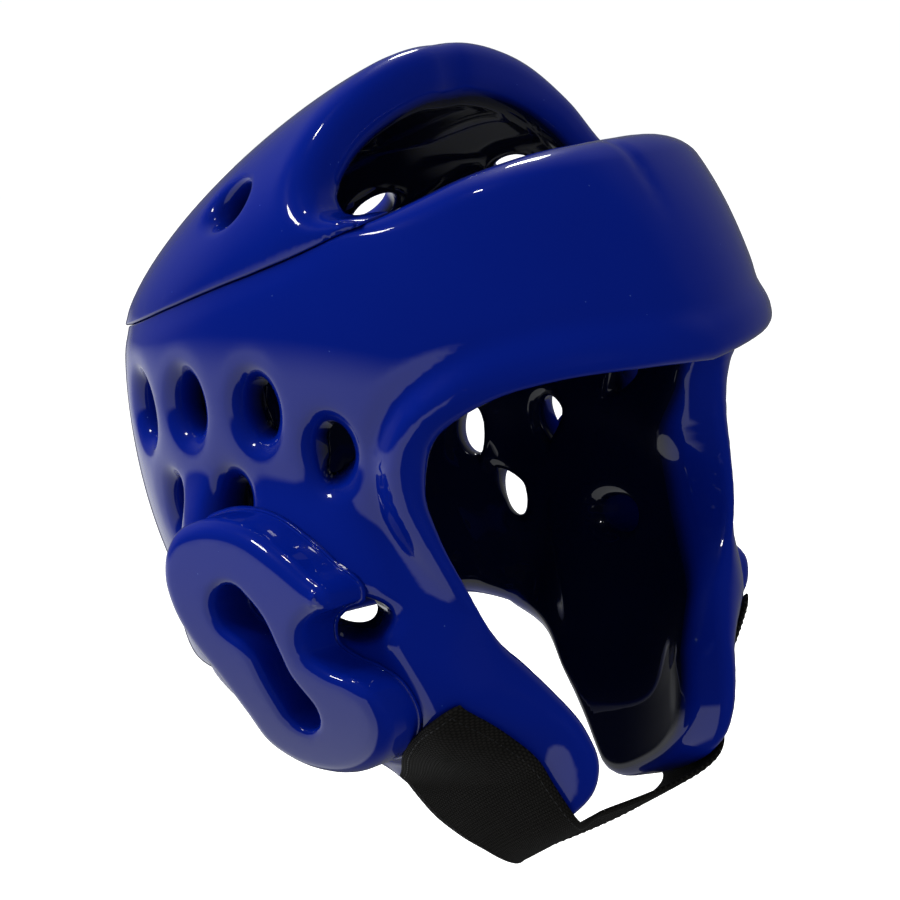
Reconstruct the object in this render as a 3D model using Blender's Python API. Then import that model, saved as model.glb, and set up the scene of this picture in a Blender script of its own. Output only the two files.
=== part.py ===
"""Foam head guard: a wrap-round shell with a crown pad, two ear pads and a chin strap.

Metres, +Z up, the face opening towards -Y, the wearer's left towards +X. The pieces are modelled
round the middle of the head, at the height that the named heights start from, and hang from an
empty at the world's origin, which is where the top of a head bears on the crown pad.
"""

import math

import bmesh
import bpy
import numpy as np
from mathutils.geometry import delaunay_2d_cdt

# Overall form
HALF_WIDTH = 0.102
FRONT_DEPTH = 0.124
REAR_DEPTH = 0.1215
BAND_TOP = 0.0955
CROWN_TOP = 0.1385
CHEEK_DROP = 0.152
FOAM_THICKNESS = 0.019
LIP_RADIUS = 0.008
SEAM_RADIUS = 0.0022
CLEARANCE = 0.0003
RING_POWER = 2.3

# Crown pad
APEX_SETBACK = -0.026
CROWN_SIDE_POWER = 1.94
CROWN_REAR_POWER = 1.3
CROWN_HOLE_WIDTH = 0.018
CROWN_HOLE_LENGTH = 0.023
SEAT_BACK = 0.24
CROWN_LIP_RADIUS = 0.0105
LIP_THICKENING = 0.38
LIP_FADE = 0.4
LIP_SIDE_FADE = 0.125

# Vent holes through the shell, and the ear hole under each ear pad
VENT_WIDTH = 0.019
VENT_HEIGHT = 0.025
VENT_RADIUS = 0.005
EAR_HOLE_LENGTH = 0.031
EAR_HOLE_HEIGHT = 0.019
EAR_HOLE_FORWARD = 0.036
EAR_HOLE_LEVEL = -0.376
EAR_HOLE_SLANT = 0.011
EAR_HOLE_REACH = 1.9
HOLE_TAPER = 0.64
TAPER_REACH = 2.2

# Ear pads and the swelling of the shell under them
PAD_LENGTH = 0.098
PAD_HEIGHT = 0.091
PAD_FORWARD = 0.009
PAD_LEVEL = -0.4276
PAD_RISE = 0.0235
PAD_RADIUS = 0.005
PAD_SOLE_RADIUS = 0.001
PAD_GAP = 0.0007
SLOT_RADIUS = 0.0075
SWELL_RISE = 0.0035
SWELL_LENGTH = 0.102
SWELL_HEIGHT = 0.100
SWELL_LEAN = 0.45
SWELL_FADE = 0.22
EAR_ROOM = 0.5
LEAN_LEVEL = -0.230
LEAN_CURVE = 3.6
SIDE_START = 0.4
SIDE_END = 0.65

# Chin strap
STRAP_WIDTH = 0.040
STRAP_THICKNESS = 0.002
STRAP_LEVEL = -1.0592
STRAP_FORWARD = 0.037
STRAP_TILT = 27.5
STRAP_FULLNESS = 0.7
STRAP_LIFT = 0.0023
STRAP_CELLS_ACROSS = 4
STRAP_CHEEK_ROWS = 11
STRAP_FREE_ROWS = 11

# Mesh spacing
SHELL_SPACING = 0.0108
CROWN_SPACING = 0.012
PAD_SPACING = 0.010
EDGE_SPACING = 0.0085
HOLE_SIDES = 14
EDGE_LEVELS = 2
SOLE_STEPS = 12

# Sections of the shell. height: share of BAND_TOP above the origin, of CHEEK_DROP below it;
# half_width, front, rear: shares of HALF_WIDTH, FRONT_DEPTH and REAR_DEPTH.
SECTION_COLUMNS = ("height", "half_width", "front", "rear")
SECTION_ROWS = (
    (-1.10, 0.500, 0.790, 0.570),
    (-0.86, 0.628, 0.856, 0.690),
    (-0.59, 0.772, 0.870, 0.800),
    (-0.30, 0.938, 0.962, 0.945),
    (0.00, 1.000, 1.035, 1.010),
    (0.47, 1.000, 0.960, 0.972),
    (0.84, 0.925, 0.835, 0.870),
    (1.15, 0.800, 0.660, 0.730),
)

# Top edge of the shell. azimuth: degrees from the front; height: share of BAND_TOP;
# roundness: 0 for the seam's fine edge to 1 for the open edge's full one.
TOP_EDGE_COLUMNS = ("azimuth", "height", "roundness")
TOP_EDGE_ROWS = (
    (0, 1.005, 1.0),
    (24, 0.990, 1.0),
    (34, 0.965, 1.0),
    (43, 0.930, 1.0),
    (51, 0.885, 1.0),
    (59, 0.838, 0.8),
    (67, 0.795, 0.2),
    (76, 0.738, 0.0),
    (89, 0.669, 0.0),
    (100, 0.616, 0.0),
    (114, 0.546, 0.0),
    (129, 0.478, 0.0),
    (152, 0.420, 0.0),
    (180, 0.400, 0.0),
)

# Lower edge of the shell from the brow round the face opening, the cheek and the nape.
# azimuth: degrees from the front; height: share of BAND_TOP above the origin, CHEEK_DROP below.
LOWER_EDGE_COLUMNS = ("azimuth", "height")
LOWER_EDGE_ROWS = (
    (0, 0.178),
    (17, 0.205),
    (31, 0.207),
    (41, 0.170),
    (47.5, 0.111),
    (52, 0.045),
    (54.2, -0.020),
    (54.4, -0.100),
    (51.8, -0.199),
    (48.1, -0.305),
    (41.7, -0.472),
    (32.9, -0.607),
    (26.9, -0.705),
    (24.3, -0.797),
    (25.5, -0.871),
    (29.5, -0.925),
    (37, -0.970),
    (47, -0.995),
    (56, -0.982),
    (64, -0.938),
    (72, -0.885),
    (81, -0.825),
    (90, -0.765),
    (99, -0.708),
    (108, -0.652),
    (117, -0.606),
    (127, -0.578),
    (142, -0.575),
    (160, -0.585),
    (180, -0.592),
)

# Vent holes of one side. azimuth: degrees from the front;
# height: share of BAND_TOP above the origin, of CHEEK_DROP below it.
VENT_COLUMNS = ("azimuth", "height")
VENT_ROWS = (
    (73.5, 0.000),
    (91.0, 0.165),
    (111.5, 0.172),
    (129.5, 0.134),
    (100.5, -0.132),
    (121.5, -0.155),
    (116.0, -0.335),
)

# Front lip of the crown pad in the crown's own plan, a disc of radius 1 round its apex.
# across: towards the side; back: towards the rear; roundness as in the top edge's rows.
LIP_COLUMNS = ("across", "back", "roundness")
LIP_ROWS = (
    (0.00, 0.040, 1.0),
    (0.30, 0.055, 1.0),
    (0.60, 0.070, 1.0),
    (0.80, 0.055, 1.0),
    (0.89, 0.015, 0.8),
    (0.945, -0.060, 0.45),
    (0.965, -0.150, 0.2),
)
FOOT_AZIMUTH = 78.0

# Vent holes of one side of the crown pad, in the same plan.
CROWN_HOLE_COLUMNS = ("across", "back")
CROWN_HOLE_ROWS = (
    (0.675, 0.362),
    (0.330, 0.670),
)

# Outline of an ear pad. back: share of PAD_LENGTH; up: share of PAD_HEIGHT, both from its middle.
PAD_COLUMNS = ("back", "up")
PAD_ROWS = (
    (0.436, 0.375),
    (0.462, 0.265),
    (0.448, 0.155),
    (0.392, 0.010),
    (0.299, -0.145),
    (0.233, -0.285),
    (0.181, -0.395),
    (0.072, -0.475),
    (-0.078, -0.500),
    (-0.254, -0.460),
    (-0.380, -0.380),
    (-0.445, -0.260),
    (-0.422, -0.165),
    (-0.346, -0.105),
    (-0.244, -0.065),
    (-0.171, -0.005),
    (-0.183, 0.080),
    (-0.261, 0.150),
    (-0.334, 0.185),
    (-0.331, 0.215),
    (-0.234, 0.305),
    (-0.104, 0.405),
    (0.026, 0.475),
    (0.146, 0.500),
    (0.276, 0.490),
    (0.376, 0.450),
)

# Spine of the slot through an ear pad, in the same shares; radius: share of SLOT_RADIUS.
SLOT_COLUMNS = ("back", "up", "radius")
SLOT_ROWS = (
    (0.138, 0.155, 1.00),
    (0.071, 0.085, 0.88),
    (0.026, -0.015, 0.68),
    (-0.005, -0.110, 0.74),
    (-0.067, -0.220, 0.95),
)

# Chin strap on one cheek. front and rear: the azimuths, in degrees, of its two edges;
# front_height and rear_height: their heights as shares of CHEEK_DROP below the origin.
STRAP_COLUMNS = ("front", "front_height", "rear", "rear_height")
STRAP_ROWS = (
    (46.6, -0.592, 66.0, -0.790),
    (42.0, -0.640, 65.0, -0.835),
    (38.0, -0.715, 60.0, -0.900),
    (34.1, -0.800, 54.5, -0.957),
    (30.9, -0.880, 50.0, -0.990),
)

COLOURS = {
    "shell": (0.003, 0.010, 0.150, 1.0),
    "crown": (0.003, 0.010, 0.160, 1.0),
    "ear": (0.004, 0.012, 0.170, 1.0),
    "strap": (0.006, 0.006, 0.008, 1.0),
}


def column(rows, columns, name):
    """One named column of a table as an array."""
    return np.array([row[columns.index(name)] for row in rows], float)


def height_of(share):
    """A height in metres from its share of the band above the origin or of the cheek below it."""
    share = np.asarray(share, float)
    return np.where(share > 0, share * BAND_TOP, share * CHEEK_DROP)


def smooth(knots, values, at):
    """A smooth curve through values at rising knots."""
    knots = np.asarray(knots, float)
    values = np.asarray(values, float)
    at = np.clip(np.asarray(at, float), knots[0], knots[-1])
    slopes = np.gradient(values, knots)
    cell = np.clip(np.searchsorted(knots, at, side="right") - 1, 0, len(knots) - 2)
    width = knots[cell + 1] - knots[cell]
    t = (at - knots[cell]) / width
    start = (2 * t**3 - 3 * t**2 + 1) * values[cell] + (t**3 - 2 * t**2 + t) * width * slopes[cell]
    end = (3 * t**2 - 2 * t**3) * values[cell + 1] + (t**3 - t**2) * width * slopes[cell + 1]
    return start + end


def smooth_path(points, spacing, closed=False, scale=(1.0, 1.0)):
    """Evenly spaced points along a smooth curve through the given points."""
    points = np.asarray(points, float)
    if closed:
        points = np.vstack([points[-2:], points, points[:3]])
    steps = np.linalg.norm((points[1:, :2] - points[:-1, :2]) * scale, axis=1)
    knots = np.concatenate([[0.0], np.cumsum(steps)])
    start, end = (knots[2], knots[-3]) if closed else (knots[0], knots[-1])
    count = max(4, round((end - start) / spacing))
    at = np.linspace(start, end, count + 1)
    if closed:
        at = at[:-1]
    return np.stack([smooth(knots, points[:, axis], at) for axis in range(points.shape[1])], axis=1)


def ring_point(azimuth, height, inset):
    """A point on the rounded form of the head, azimuth in radians from the front."""
    heights = height_of(column(SECTION_ROWS, SECTION_COLUMNS, "height"))
    wide = HALF_WIDTH * smooth(heights, column(SECTION_ROWS, SECTION_COLUMNS, "half_width"), height)
    front = FRONT_DEPTH * smooth(heights, column(SECTION_ROWS, SECTION_COLUMNS, "front"), height)
    rear = REAR_DEPTH * smooth(heights, column(SECTION_ROWS, SECTION_COLUMNS, "rear"), height)
    along = np.cos(azimuth)
    deep = np.where(along > 0, front, rear) - inset
    power = RING_POWER
    radius = (np.abs(np.sin(azimuth) / (wide - inset)) ** power + np.abs(along / deep) ** power)
    radius = radius ** (-1 / power)
    return np.stack([radius * np.sin(azimuth), -radius * along, height + 0 * azimuth], axis=-1)


def lean(height):
    """How far an ear pad's face and the swelling under it lean in towards the cheek."""
    return LEAN_CURVE * np.clip(LEAN_LEVEL * CHEEK_DROP - height, 0, None) ** 2


def swollen(point, share):
    """Raise a skin towards the flat swelling round an ear, by a share of the full rise."""
    up = point[..., 2] - PAD_LEVEL * CHEEK_DROP
    back = (point[..., 1] + PAD_FORWARD - SWELL_LEAN * up) / (SWELL_LENGTH / 2)
    up = up / (SWELL_HEIGHT / 2)
    reach = (np.abs(back) ** 3 + np.abs(up) ** 3) ** (1 / 3)
    t = np.clip((1 + SWELL_FADE - reach) / (2 * SWELL_FADE), 0, 1)
    outer = ring_point(np.arctan2(point[..., 0], -point[..., 1]), point[..., 2], 0.0)
    side = (np.abs(point[..., 0]) / HALF_WIDTH - SIDE_START) / (SIDE_END - SIDE_START)
    face = HALF_WIDTH + SWELL_RISE - lean(point[..., 2])
    rise = np.clip(face - np.abs(outer[..., 0]), 0, None) * np.clip(side, 0, 1) * t * t * (3 - 2 * t)
    result = point.copy()
    result[..., 0] += np.sign(point[..., 0]) * rise * share
    return result


def shell_outer(plan):
    """Outer skin of the shell over its plan of (azimuth times HALF_WIDTH, height)."""
    return swollen(ring_point(plan[..., 0] / HALF_WIDTH, plan[..., 1], 0.0), 1.0)


def shell_inner(plan):
    """Inner skin of the shell, with room for the ears and the ear holes slanted back."""
    hole = ear_hole_centre()
    away = np.hypot(plan[..., 0] - hole[0], plan[..., 1] - hole[1]) / EAR_HOLE_LENGTH
    t = np.clip(EAR_HOLE_REACH - away, 0, 1)
    plan = narrowed(plan)
    azimuth = plan[..., 0] / HALF_WIDTH + EAR_HOLE_SLANT / HALF_WIDTH * t * t * (3 - 2 * t)
    return swollen(ring_point(azimuth, plan[..., 1], FOAM_THICKNESS), EAR_ROOM)


def narrowed(plan):
    """The plan drawn in round each hole, which narrows on its way through the foam."""
    result = plan.copy()
    holes = [(vent_centre(*row), VENT_WIDTH, VENT_HEIGHT) for row in VENT_ROWS]
    holes.append((ear_hole_centre(), EAR_HOLE_LENGTH, EAR_HOLE_HEIGHT))
    for centre, width, height in holes:
        reach = np.linalg.norm((plan - centre) / (width / 2, height / 2), axis=-1)[..., None]
        spread = HOLE_TAPER + (reach - 1) * (TAPER_REACH - HOLE_TAPER) / (TAPER_REACH - 1)
        drawn = np.where(reach > 1, spread / np.maximum(reach, 1), HOLE_TAPER)
        result += np.where(reach < TAPER_REACH, drawn - 1, 0) * (plan - centre)
    return result


def vent_centre(azimuth, share):
    """Middle of a vent hole in the shell's plan."""
    return np.array([math.radians(azimuth) * HALF_WIDTH, float(height_of(share))])


def ear_hole_centre():
    """Middle of the ear hole in the shell's plan."""
    azimuths = np.linspace(0.3, 2.2, 60)
    height = EAR_HOLE_LEVEL * CHEEK_DROP
    ring = ring_point(azimuths, height + 0 * azimuths, 0.0)
    return np.array([HALF_WIDTH * np.interp(-EAR_HOLE_FORWARD, ring[:, 1], azimuths), height])


def seam_height(azimuth):
    """Height of the shell's top edge at an azimuth in radians."""
    degrees = column(TOP_EDGE_ROWS, TOP_EDGE_COLUMNS, "azimuth")
    shares = column(TOP_EDGE_ROWS, TOP_EDGE_COLUMNS, "height")
    return BAND_TOP * smooth(np.radians(degrees), shares, np.abs(azimuth))


def crown_skin(plan, inset):
    """Crown pad over its unit-disc plan of (across, back) round the apex."""
    azimuths = np.linspace(0, math.pi, 241)
    ring = ring_point(azimuths, seam_height(azimuths) + CLEARANCE, inset)
    turns = np.arctan2(ring[:, 0], -(ring[:, 1] - APEX_SETBACK))
    turn = np.arctan2(plan[..., 0], -plan[..., 1])
    reach = np.clip(np.hypot(plan[..., 0], plan[..., 1]), 0, 1)
    base = np.stack([np.interp(turn, turns, ring[:, axis]) for axis in range(3)], axis=-1)
    rearward = np.clip(-np.cos(turn), 0, 1)
    power = CROWN_SIDE_POWER + (CROWN_REAR_POWER - CROWN_SIDE_POWER) * rearward
    share = reach + (np.sin(reach * math.pi / 2) - reach) * (power - 1)
    rise = np.clip(1 - share**power, 0, 1) ** (1 / power)
    across = base[..., 0] * share
    back = APEX_SETBACK * (1 - share) + base[..., 1] * share
    up = base[..., 2] + (CROWN_TOP - inset - base[..., 2]) * rise
    return np.stack([across, back, up], axis=-1)


def crown_outer(plan):
    return crown_skin(plan, 0.0)


def crown_inner(plan):
    """Inner skin of the crown pad, thicker towards the front lip."""
    top = crown_outer(plan)
    side = np.clip((1 - np.abs(plan[..., :1])) / LIP_SIDE_FADE, 0, 1)
    fade = np.clip(1 - plan[..., 1:] / LIP_FADE, 0, 1) * side
    return top + (crown_skin(plan, FOAM_THICKNESS) - top) * (1 + LIP_THICKENING * fade)


def pad_outer(plan):
    """Outer face of an ear pad over its plan of (depth, height)."""
    face = HALF_WIDTH + PAD_RISE - lean(plan[..., 1])
    return np.stack([face, plan[..., 0], plan[..., 1]], axis=-1)


def pad_inner(plan):
    """Sole of an ear pad, lying on the swollen shell with a clearance."""
    azimuth = np.arctan2(HALF_WIDTH + 0 * plan[..., 0], -plan[..., 0])
    for _ in range(SOLE_STEPS):
        point = shell_outer(np.stack([azimuth * HALF_WIDTH, plan[..., 1]], axis=-1))
        azimuth = azimuth + (plan[..., 0] - point[..., 1]) / HALF_WIDTH
    point = shell_outer(np.stack([azimuth * HALF_WIDTH, plan[..., 1]], axis=-1))
    return np.stack([point[..., 0] + PAD_GAP, plan[..., 0], plan[..., 1]], axis=-1)


def inward(points, closed):
    """Unit normals along an anticlockwise outline, towards the material on its left."""
    if closed:
        tangent = np.roll(points, -1, axis=0) - np.roll(points, 1, axis=0)
    else:
        tangent = np.gradient(points, axis=0)
    normal = np.stack([-tangent[:, 1], tangent[:, 0]], axis=1)
    if not closed:
        normal[[0, -1], 0] = 0
    return normal / np.linalg.norm(normal, axis=1)[:, None]


def edge_rings(points, radii, closed, skin):
    """Rings of plan points that step from an outline into the material, with their distances."""
    normal = inward(points, closed)
    probe = 0.001 * np.ptp(points, axis=0).max()
    stretch = np.linalg.norm(skin(points + normal * probe) - skin(points), axis=1) / probe
    rings = []
    for level in range(EDGE_LEVELS + 1):
        distance = radii * (1 - math.cos(level / EDGE_LEVELS * math.pi / 2))
        rings.append((points + normal * (distance / stretch)[:, None], distance))
    return rings


def inside(polygon, points):
    """Which points lie inside a polygon."""
    result = np.zeros(len(points), bool)
    for start, end in zip(polygon, np.roll(polygon, -1, axis=0)):
        crosses = (start[1] > points[:, 1]) != (end[1] > points[:, 1])
        rise = end[1] - start[1]
        along = (points[:, 1] - start[1]) / (rise if rise else 1.0)
        result ^= crosses & (points[:, 0] < start[0] + along * (end[0] - start[0]))
    return result


def hex_grid(polygon, spacing):
    """Points of a triangular grid over a polygon's box."""
    low, high = polygon.min(axis=0), polygon.max(axis=0)
    points = []
    rise = spacing * math.sqrt(3) / 2
    for row in range(int((high[1] - low[1]) / rise) + 1):
        shift = 0.5 * spacing * (row % 2)
        for place in np.arange(low[0] + shift, high[0], spacing):
            points.append((place, low[1] + row * rise))
    return np.array(points)


def triangulate(points, loops):
    """Triangles over plan points, inside the first loop and outside the others."""
    edges = []
    for loop in loops:
        edges.extend(zip(loop, loop[1:] + loop[:1]))
    flat = [tuple(point) for point in points]
    corners, _, faces, sources, _, _ = delaunay_2d_cdt(flat, edges, [], 0, 1e-9)
    source = [entry[0] for entry in sources]
    centres = np.array([np.mean([corners[corner] for corner in face], axis=0) for face in faces])
    keep = inside(points[loops[0]], centres)
    for loop in loops[1:]:
        keep &= ~inside(points[loop], centres)
    return [tuple(source[corner] for corner in face) for face, kept in zip(faces, keep) if kept]


def lowered(distance, radius):
    """How far a skin has dropped at a distance from a rounded edge."""
    share = np.clip(1 - distance / radius, 0, 1)
    return radius * (1 - np.sqrt(1 - share**2))


def plate_mesh(runs, holes, outer, inner, spacing, sole_share=1.0):
    """Vertices and faces of a padded plate between two skins, with rounded edges.

    runs: the outline as (points, radii), anticlockwise. One run is a closed outline where its
    ends lie apart from the centre line; otherwise the runs start and end on the centre line and
    the plate is mirrored across it. holes: closed (points, radii), clockwise.
    """
    mirrored = abs(outer(runs[0][0][:1])[0, 0]) < 1e-6
    points, distances, radii = [], [], []

    def add(new_points, new_distances, new_radii):
        first = len(points)
        points.extend(new_points)
        distances.extend(new_distances)
        radii.extend(new_radii)
        return list(range(first, len(points)))

    loops, run_ends = [], []
    for outline, edge_radii in runs + holes:
        closed = not mirrored or len(loops) >= len(runs)
        levels = [add(ring, distance, edge_radii)
                  for ring, distance in edge_rings(outline, edge_radii, closed, outer)]
        loops.append(levels[0])
        run_ends.append(([level[0] for level in levels], [level[-1] for level in levels]))
    centre = []
    rim = []
    for number in range(len(runs)):
        rim.extend(loops[number])
        if mirrored:
            leaving = run_ends[number][1]
            arriving = run_ends[(number + 1) % len(runs)][0][::-1]
            start, end = np.array(points[leaving[-1]]), np.array(points[arriving[0]])
            count = max(2, round(np.linalg.norm(end - start) / spacing))
            between = [start + (end - start) * step / count for step in range(1, count)]
            middle = add(between, [1.0] * len(between), [1e-3] * len(between))
            centre.extend(leaving + middle + arriving)
            rim.extend(leaving[1:] + middle + arriving[:-1])
    all_loops = [rim] + loops[len(runs):]
    edge_points = np.array(points)
    grid = hex_grid(edge_points[rim], spacing)
    keep = inside(edge_points[rim], grid)
    for loop in all_loops[1:]:
        keep &= ~inside(edge_points[loop], grid)
    grid = grid[keep]
    near = np.array([np.hypot(*(edge_points - place).T).min() for place in grid])
    grid = grid[near > 0.6 * spacing]
    add(grid, [1.0] * len(grid), [1e-3] * len(grid))

    plan = np.array(points)
    faces = triangulate(plan, all_loops)
    top, bottom = outer(plan), inner(plan)
    distance, radius = np.array(distances), np.array(radii)
    depth = np.linalg.norm(top - bottom, axis=1)
    sink = (lowered(distance, radius) / depth)[:, None]
    lift = (lowered(distance, radius * sole_share) / depth)[:, None]
    vertices = np.vstack([top + (bottom - top) * sink, bottom + (top - bottom) * lift])
    total = len(plan)
    uses = {}
    for face in faces:
        for start, end in zip(face, face[1:] + face[:1]):
            uses[(start, end)] = face
    on_centre = set(centre)
    mesh_faces = list(faces)
    mesh_faces += [tuple(total + corner for corner in face[::-1]) for face in faces]
    for start, end in uses:
        if (end, start) in uses or (start in on_centre and end in on_centre):
            continue
        mesh_faces.append((end, start, total + start, total + end))
    if mirrored:
        vertices, mesh_faces = mirror(vertices, mesh_faces, on_centre, total)
    return vertices, mesh_faces


def mirror(vertices, faces, on_centre, total):
    """Add a half plate's other half, sharing the corners on the centre line."""
    shared = on_centre | {total + corner for corner in on_centre}
    twin = {}
    extra = []
    for corner in range(len(vertices)):
        if corner in shared:
            vertices[corner, 0] = 0.0
            twin[corner] = corner
        else:
            twin[corner] = len(vertices) + len(extra)
            extra.append(vertices[corner] * (-1, 1, 1))
    faces = faces + [tuple(twin[corner] for corner in face[::-1]) for face in faces]
    return np.vstack([vertices, extra]), faces


def edge_radius(roundness, open_radius):
    """Edge radius from the fine seam's to the open edge's."""
    return SEAM_RADIUS + (open_radius - SEAM_RADIUS) * np.clip(roundness, 0, 1)


def oval(centre, width, height, skin, radius, sides=HOLE_SIDES):
    """A hole of real width and height round a plan point, clockwise, with its edge radii."""
    centre = np.array(centre, float)
    probe = 1e-4
    steps = np.array([centre, centre + (probe, 0), centre + (0, probe)])
    here, right, up = skin(steps)
    right, up = (right - here) / probe, (up - here) / probe
    first = right / np.linalg.norm(right)
    second = up - first * up.dot(first)
    second /= np.linalg.norm(second)
    frame = np.array([[right.dot(first), up.dot(first)], [right.dot(second), up.dot(second)]])
    angles = -np.arange(sides) / sides * 2 * math.pi
    local = np.stack([width / 2 * np.cos(angles), height / 2 * np.sin(angles)])
    return centre + np.linalg.solve(frame, local).T, np.full(sides, radius)


def make_object(name, vertices, faces, colour, roughness):
    """A smooth-shaded object with its own material."""
    mesh = bpy.data.meshes.new(name)
    mesh.from_pydata([tuple(vertex) for vertex in vertices], [], faces)
    solid = bmesh.new()
    solid.from_mesh(mesh)
    bmesh.ops.recalc_face_normals(solid, faces=solid.faces)
    solid.to_mesh(mesh)
    solid.free()
    mesh.shade_smooth()
    thing = bpy.data.objects.new(name, mesh)
    bpy.context.scene.collection.objects.link(thing)
    material = bpy.data.materials.new(name)
    material.use_nodes = True
    shader = material.node_tree.nodes["Principled BSDF"]
    shader.inputs["Base Color"].default_value = colour
    shader.inputs["Roughness"].default_value = roughness
    shader.inputs["Metallic"].default_value = 0.0
    mesh.materials.append(material)
    return thing


def make_shell():
    """Band, cheeks and nape in one padded piece, pierced by vent and ear holes."""
    degrees = column(TOP_EDGE_ROWS, TOP_EDGE_COLUMNS, "azimuth")
    top = np.stack([np.radians(degrees) * HALF_WIDTH,
                    BAND_TOP * column(TOP_EDGE_ROWS, TOP_EDGE_COLUMNS, "height"),
                    column(TOP_EDGE_ROWS, TOP_EDGE_COLUMNS, "roundness")], axis=1)
    top = smooth_path(top, EDGE_SPACING)[::-1]
    top[:, 1] = seam_height(top[:, 0] / HALF_WIDTH)
    lower_degrees = column(LOWER_EDGE_ROWS, LOWER_EDGE_COLUMNS, "azimuth")
    lower = np.stack([np.radians(lower_degrees) * HALF_WIDTH,
                      height_of(column(LOWER_EDGE_ROWS, LOWER_EDGE_COLUMNS, "height"))], axis=1)
    lower = smooth_path(lower, EDGE_SPACING)
    runs = [(lower, np.full(len(lower), LIP_RADIUS)), (top[:, :2], edge_radius(top[:, 2], LIP_RADIUS))]
    holes = []
    for row in VENT_ROWS:
        holes.append(oval(vent_centre(*row), VENT_WIDTH, VENT_HEIGHT, shell_outer, VENT_RADIUS))
    holes.append(oval(ear_hole_centre(), EAR_HOLE_LENGTH, EAR_HOLE_HEIGHT, shell_outer,
                      VENT_RADIUS))
    vertices, faces = plate_mesh(runs, holes, shell_outer, shell_inner, SHELL_SPACING)
    return make_object("shell", vertices, faces, COLOURS["shell"], 0.22)


def make_crown():
    """Arched pad over the rear of the head, with an open front and slanted vent holes."""
    lip = np.stack([column(LIP_ROWS, LIP_COLUMNS, name) for name in LIP_COLUMNS], axis=1)
    first = math.radians(FOOT_AZIMUTH)
    turns = np.linspace(first, math.pi, 12)
    seam = np.stack([np.sin(turns), -np.cos(turns), 0 * turns], axis=1)
    rim = smooth_path(np.vstack([lip, seam]), EDGE_SPACING / HALF_WIDTH)
    rim[-1, :2] = (0, 1)
    runs = [(rim[:, :2], edge_radius(rim[:, 2], CROWN_LIP_RADIUS))]
    holes = [oval((across, back), CROWN_HOLE_WIDTH, CROWN_HOLE_LENGTH, crown_outer, VENT_RADIUS)
             for across, back in CROWN_HOLE_ROWS]
    spacing = CROWN_SPACING / HALF_WIDTH
    vertices, faces = plate_mesh(runs, holes, crown_outer, crown_inner, spacing)
    return make_object("crown_pad", vertices, faces, COLOURS["crown"], 0.22)


def pad_outline():
    """Outline of an ear pad, anticlockwise in (depth, height)."""
    rows = np.stack([PAD_LENGTH * column(PAD_ROWS, PAD_COLUMNS, "back") - PAD_FORWARD,
                     PAD_HEIGHT * column(PAD_ROWS, PAD_COLUMNS, "up") + PAD_LEVEL * CHEEK_DROP], axis=1)
    return smooth_path(rows, 0.8 * EDGE_SPACING, closed=True)[::-1]


def slot_outline():
    """Dog-bone slot of an ear pad, clockwise in (depth, height)."""
    rows = np.stack([PAD_LENGTH * column(SLOT_ROWS, SLOT_COLUMNS, "back") - PAD_FORWARD,
                     PAD_HEIGHT * column(SLOT_ROWS, SLOT_COLUMNS, "up") + PAD_LEVEL * CHEEK_DROP,
                     SLOT_RADIUS * column(SLOT_ROWS, SLOT_COLUMNS, "radius")], axis=1)
    spine = smooth_path(rows, 0.8 * EDGE_SPACING)
    along = np.gradient(spine[:, :2], axis=0)
    along /= np.linalg.norm(along, axis=1)[:, None]
    side = np.stack([-along[:, 1], along[:, 0]], axis=1) * spine[:, 2:]
    caps = []
    for end, sign in ((0, -1), (-1, 1)):
        turns = np.radians((60, 20, -20, -60))
        caps.append([spine[end, :2] + sign * along[end] * spine[end, 2] * math.cos(turn)
                     + side[end] * math.sin(turn) * sign for turn in turns])
    outline = np.vstack([spine[:, :2] + side, caps[1], (spine[:, :2] - side)[::-1], caps[0]])
    return outline


def make_ear_pad(name, side):
    """Raised pad over one ear, notched at the front and slotted; side is 1 for the left."""
    outline = pad_outline()
    slot = slot_outline()
    runs = [(outline, np.full(len(outline), PAD_RADIUS))]
    holes = [(slot, np.full(len(slot), 0.6 * PAD_RADIUS))]
    share = PAD_SOLE_RADIUS / PAD_RADIUS
    vertices, faces = plate_mesh(runs, holes, pad_outer, pad_inner, PAD_SPACING, share)
    return make_object(name, vertices * (side, 1, 1), faces, COLOURS["ear"], 0.25)


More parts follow.
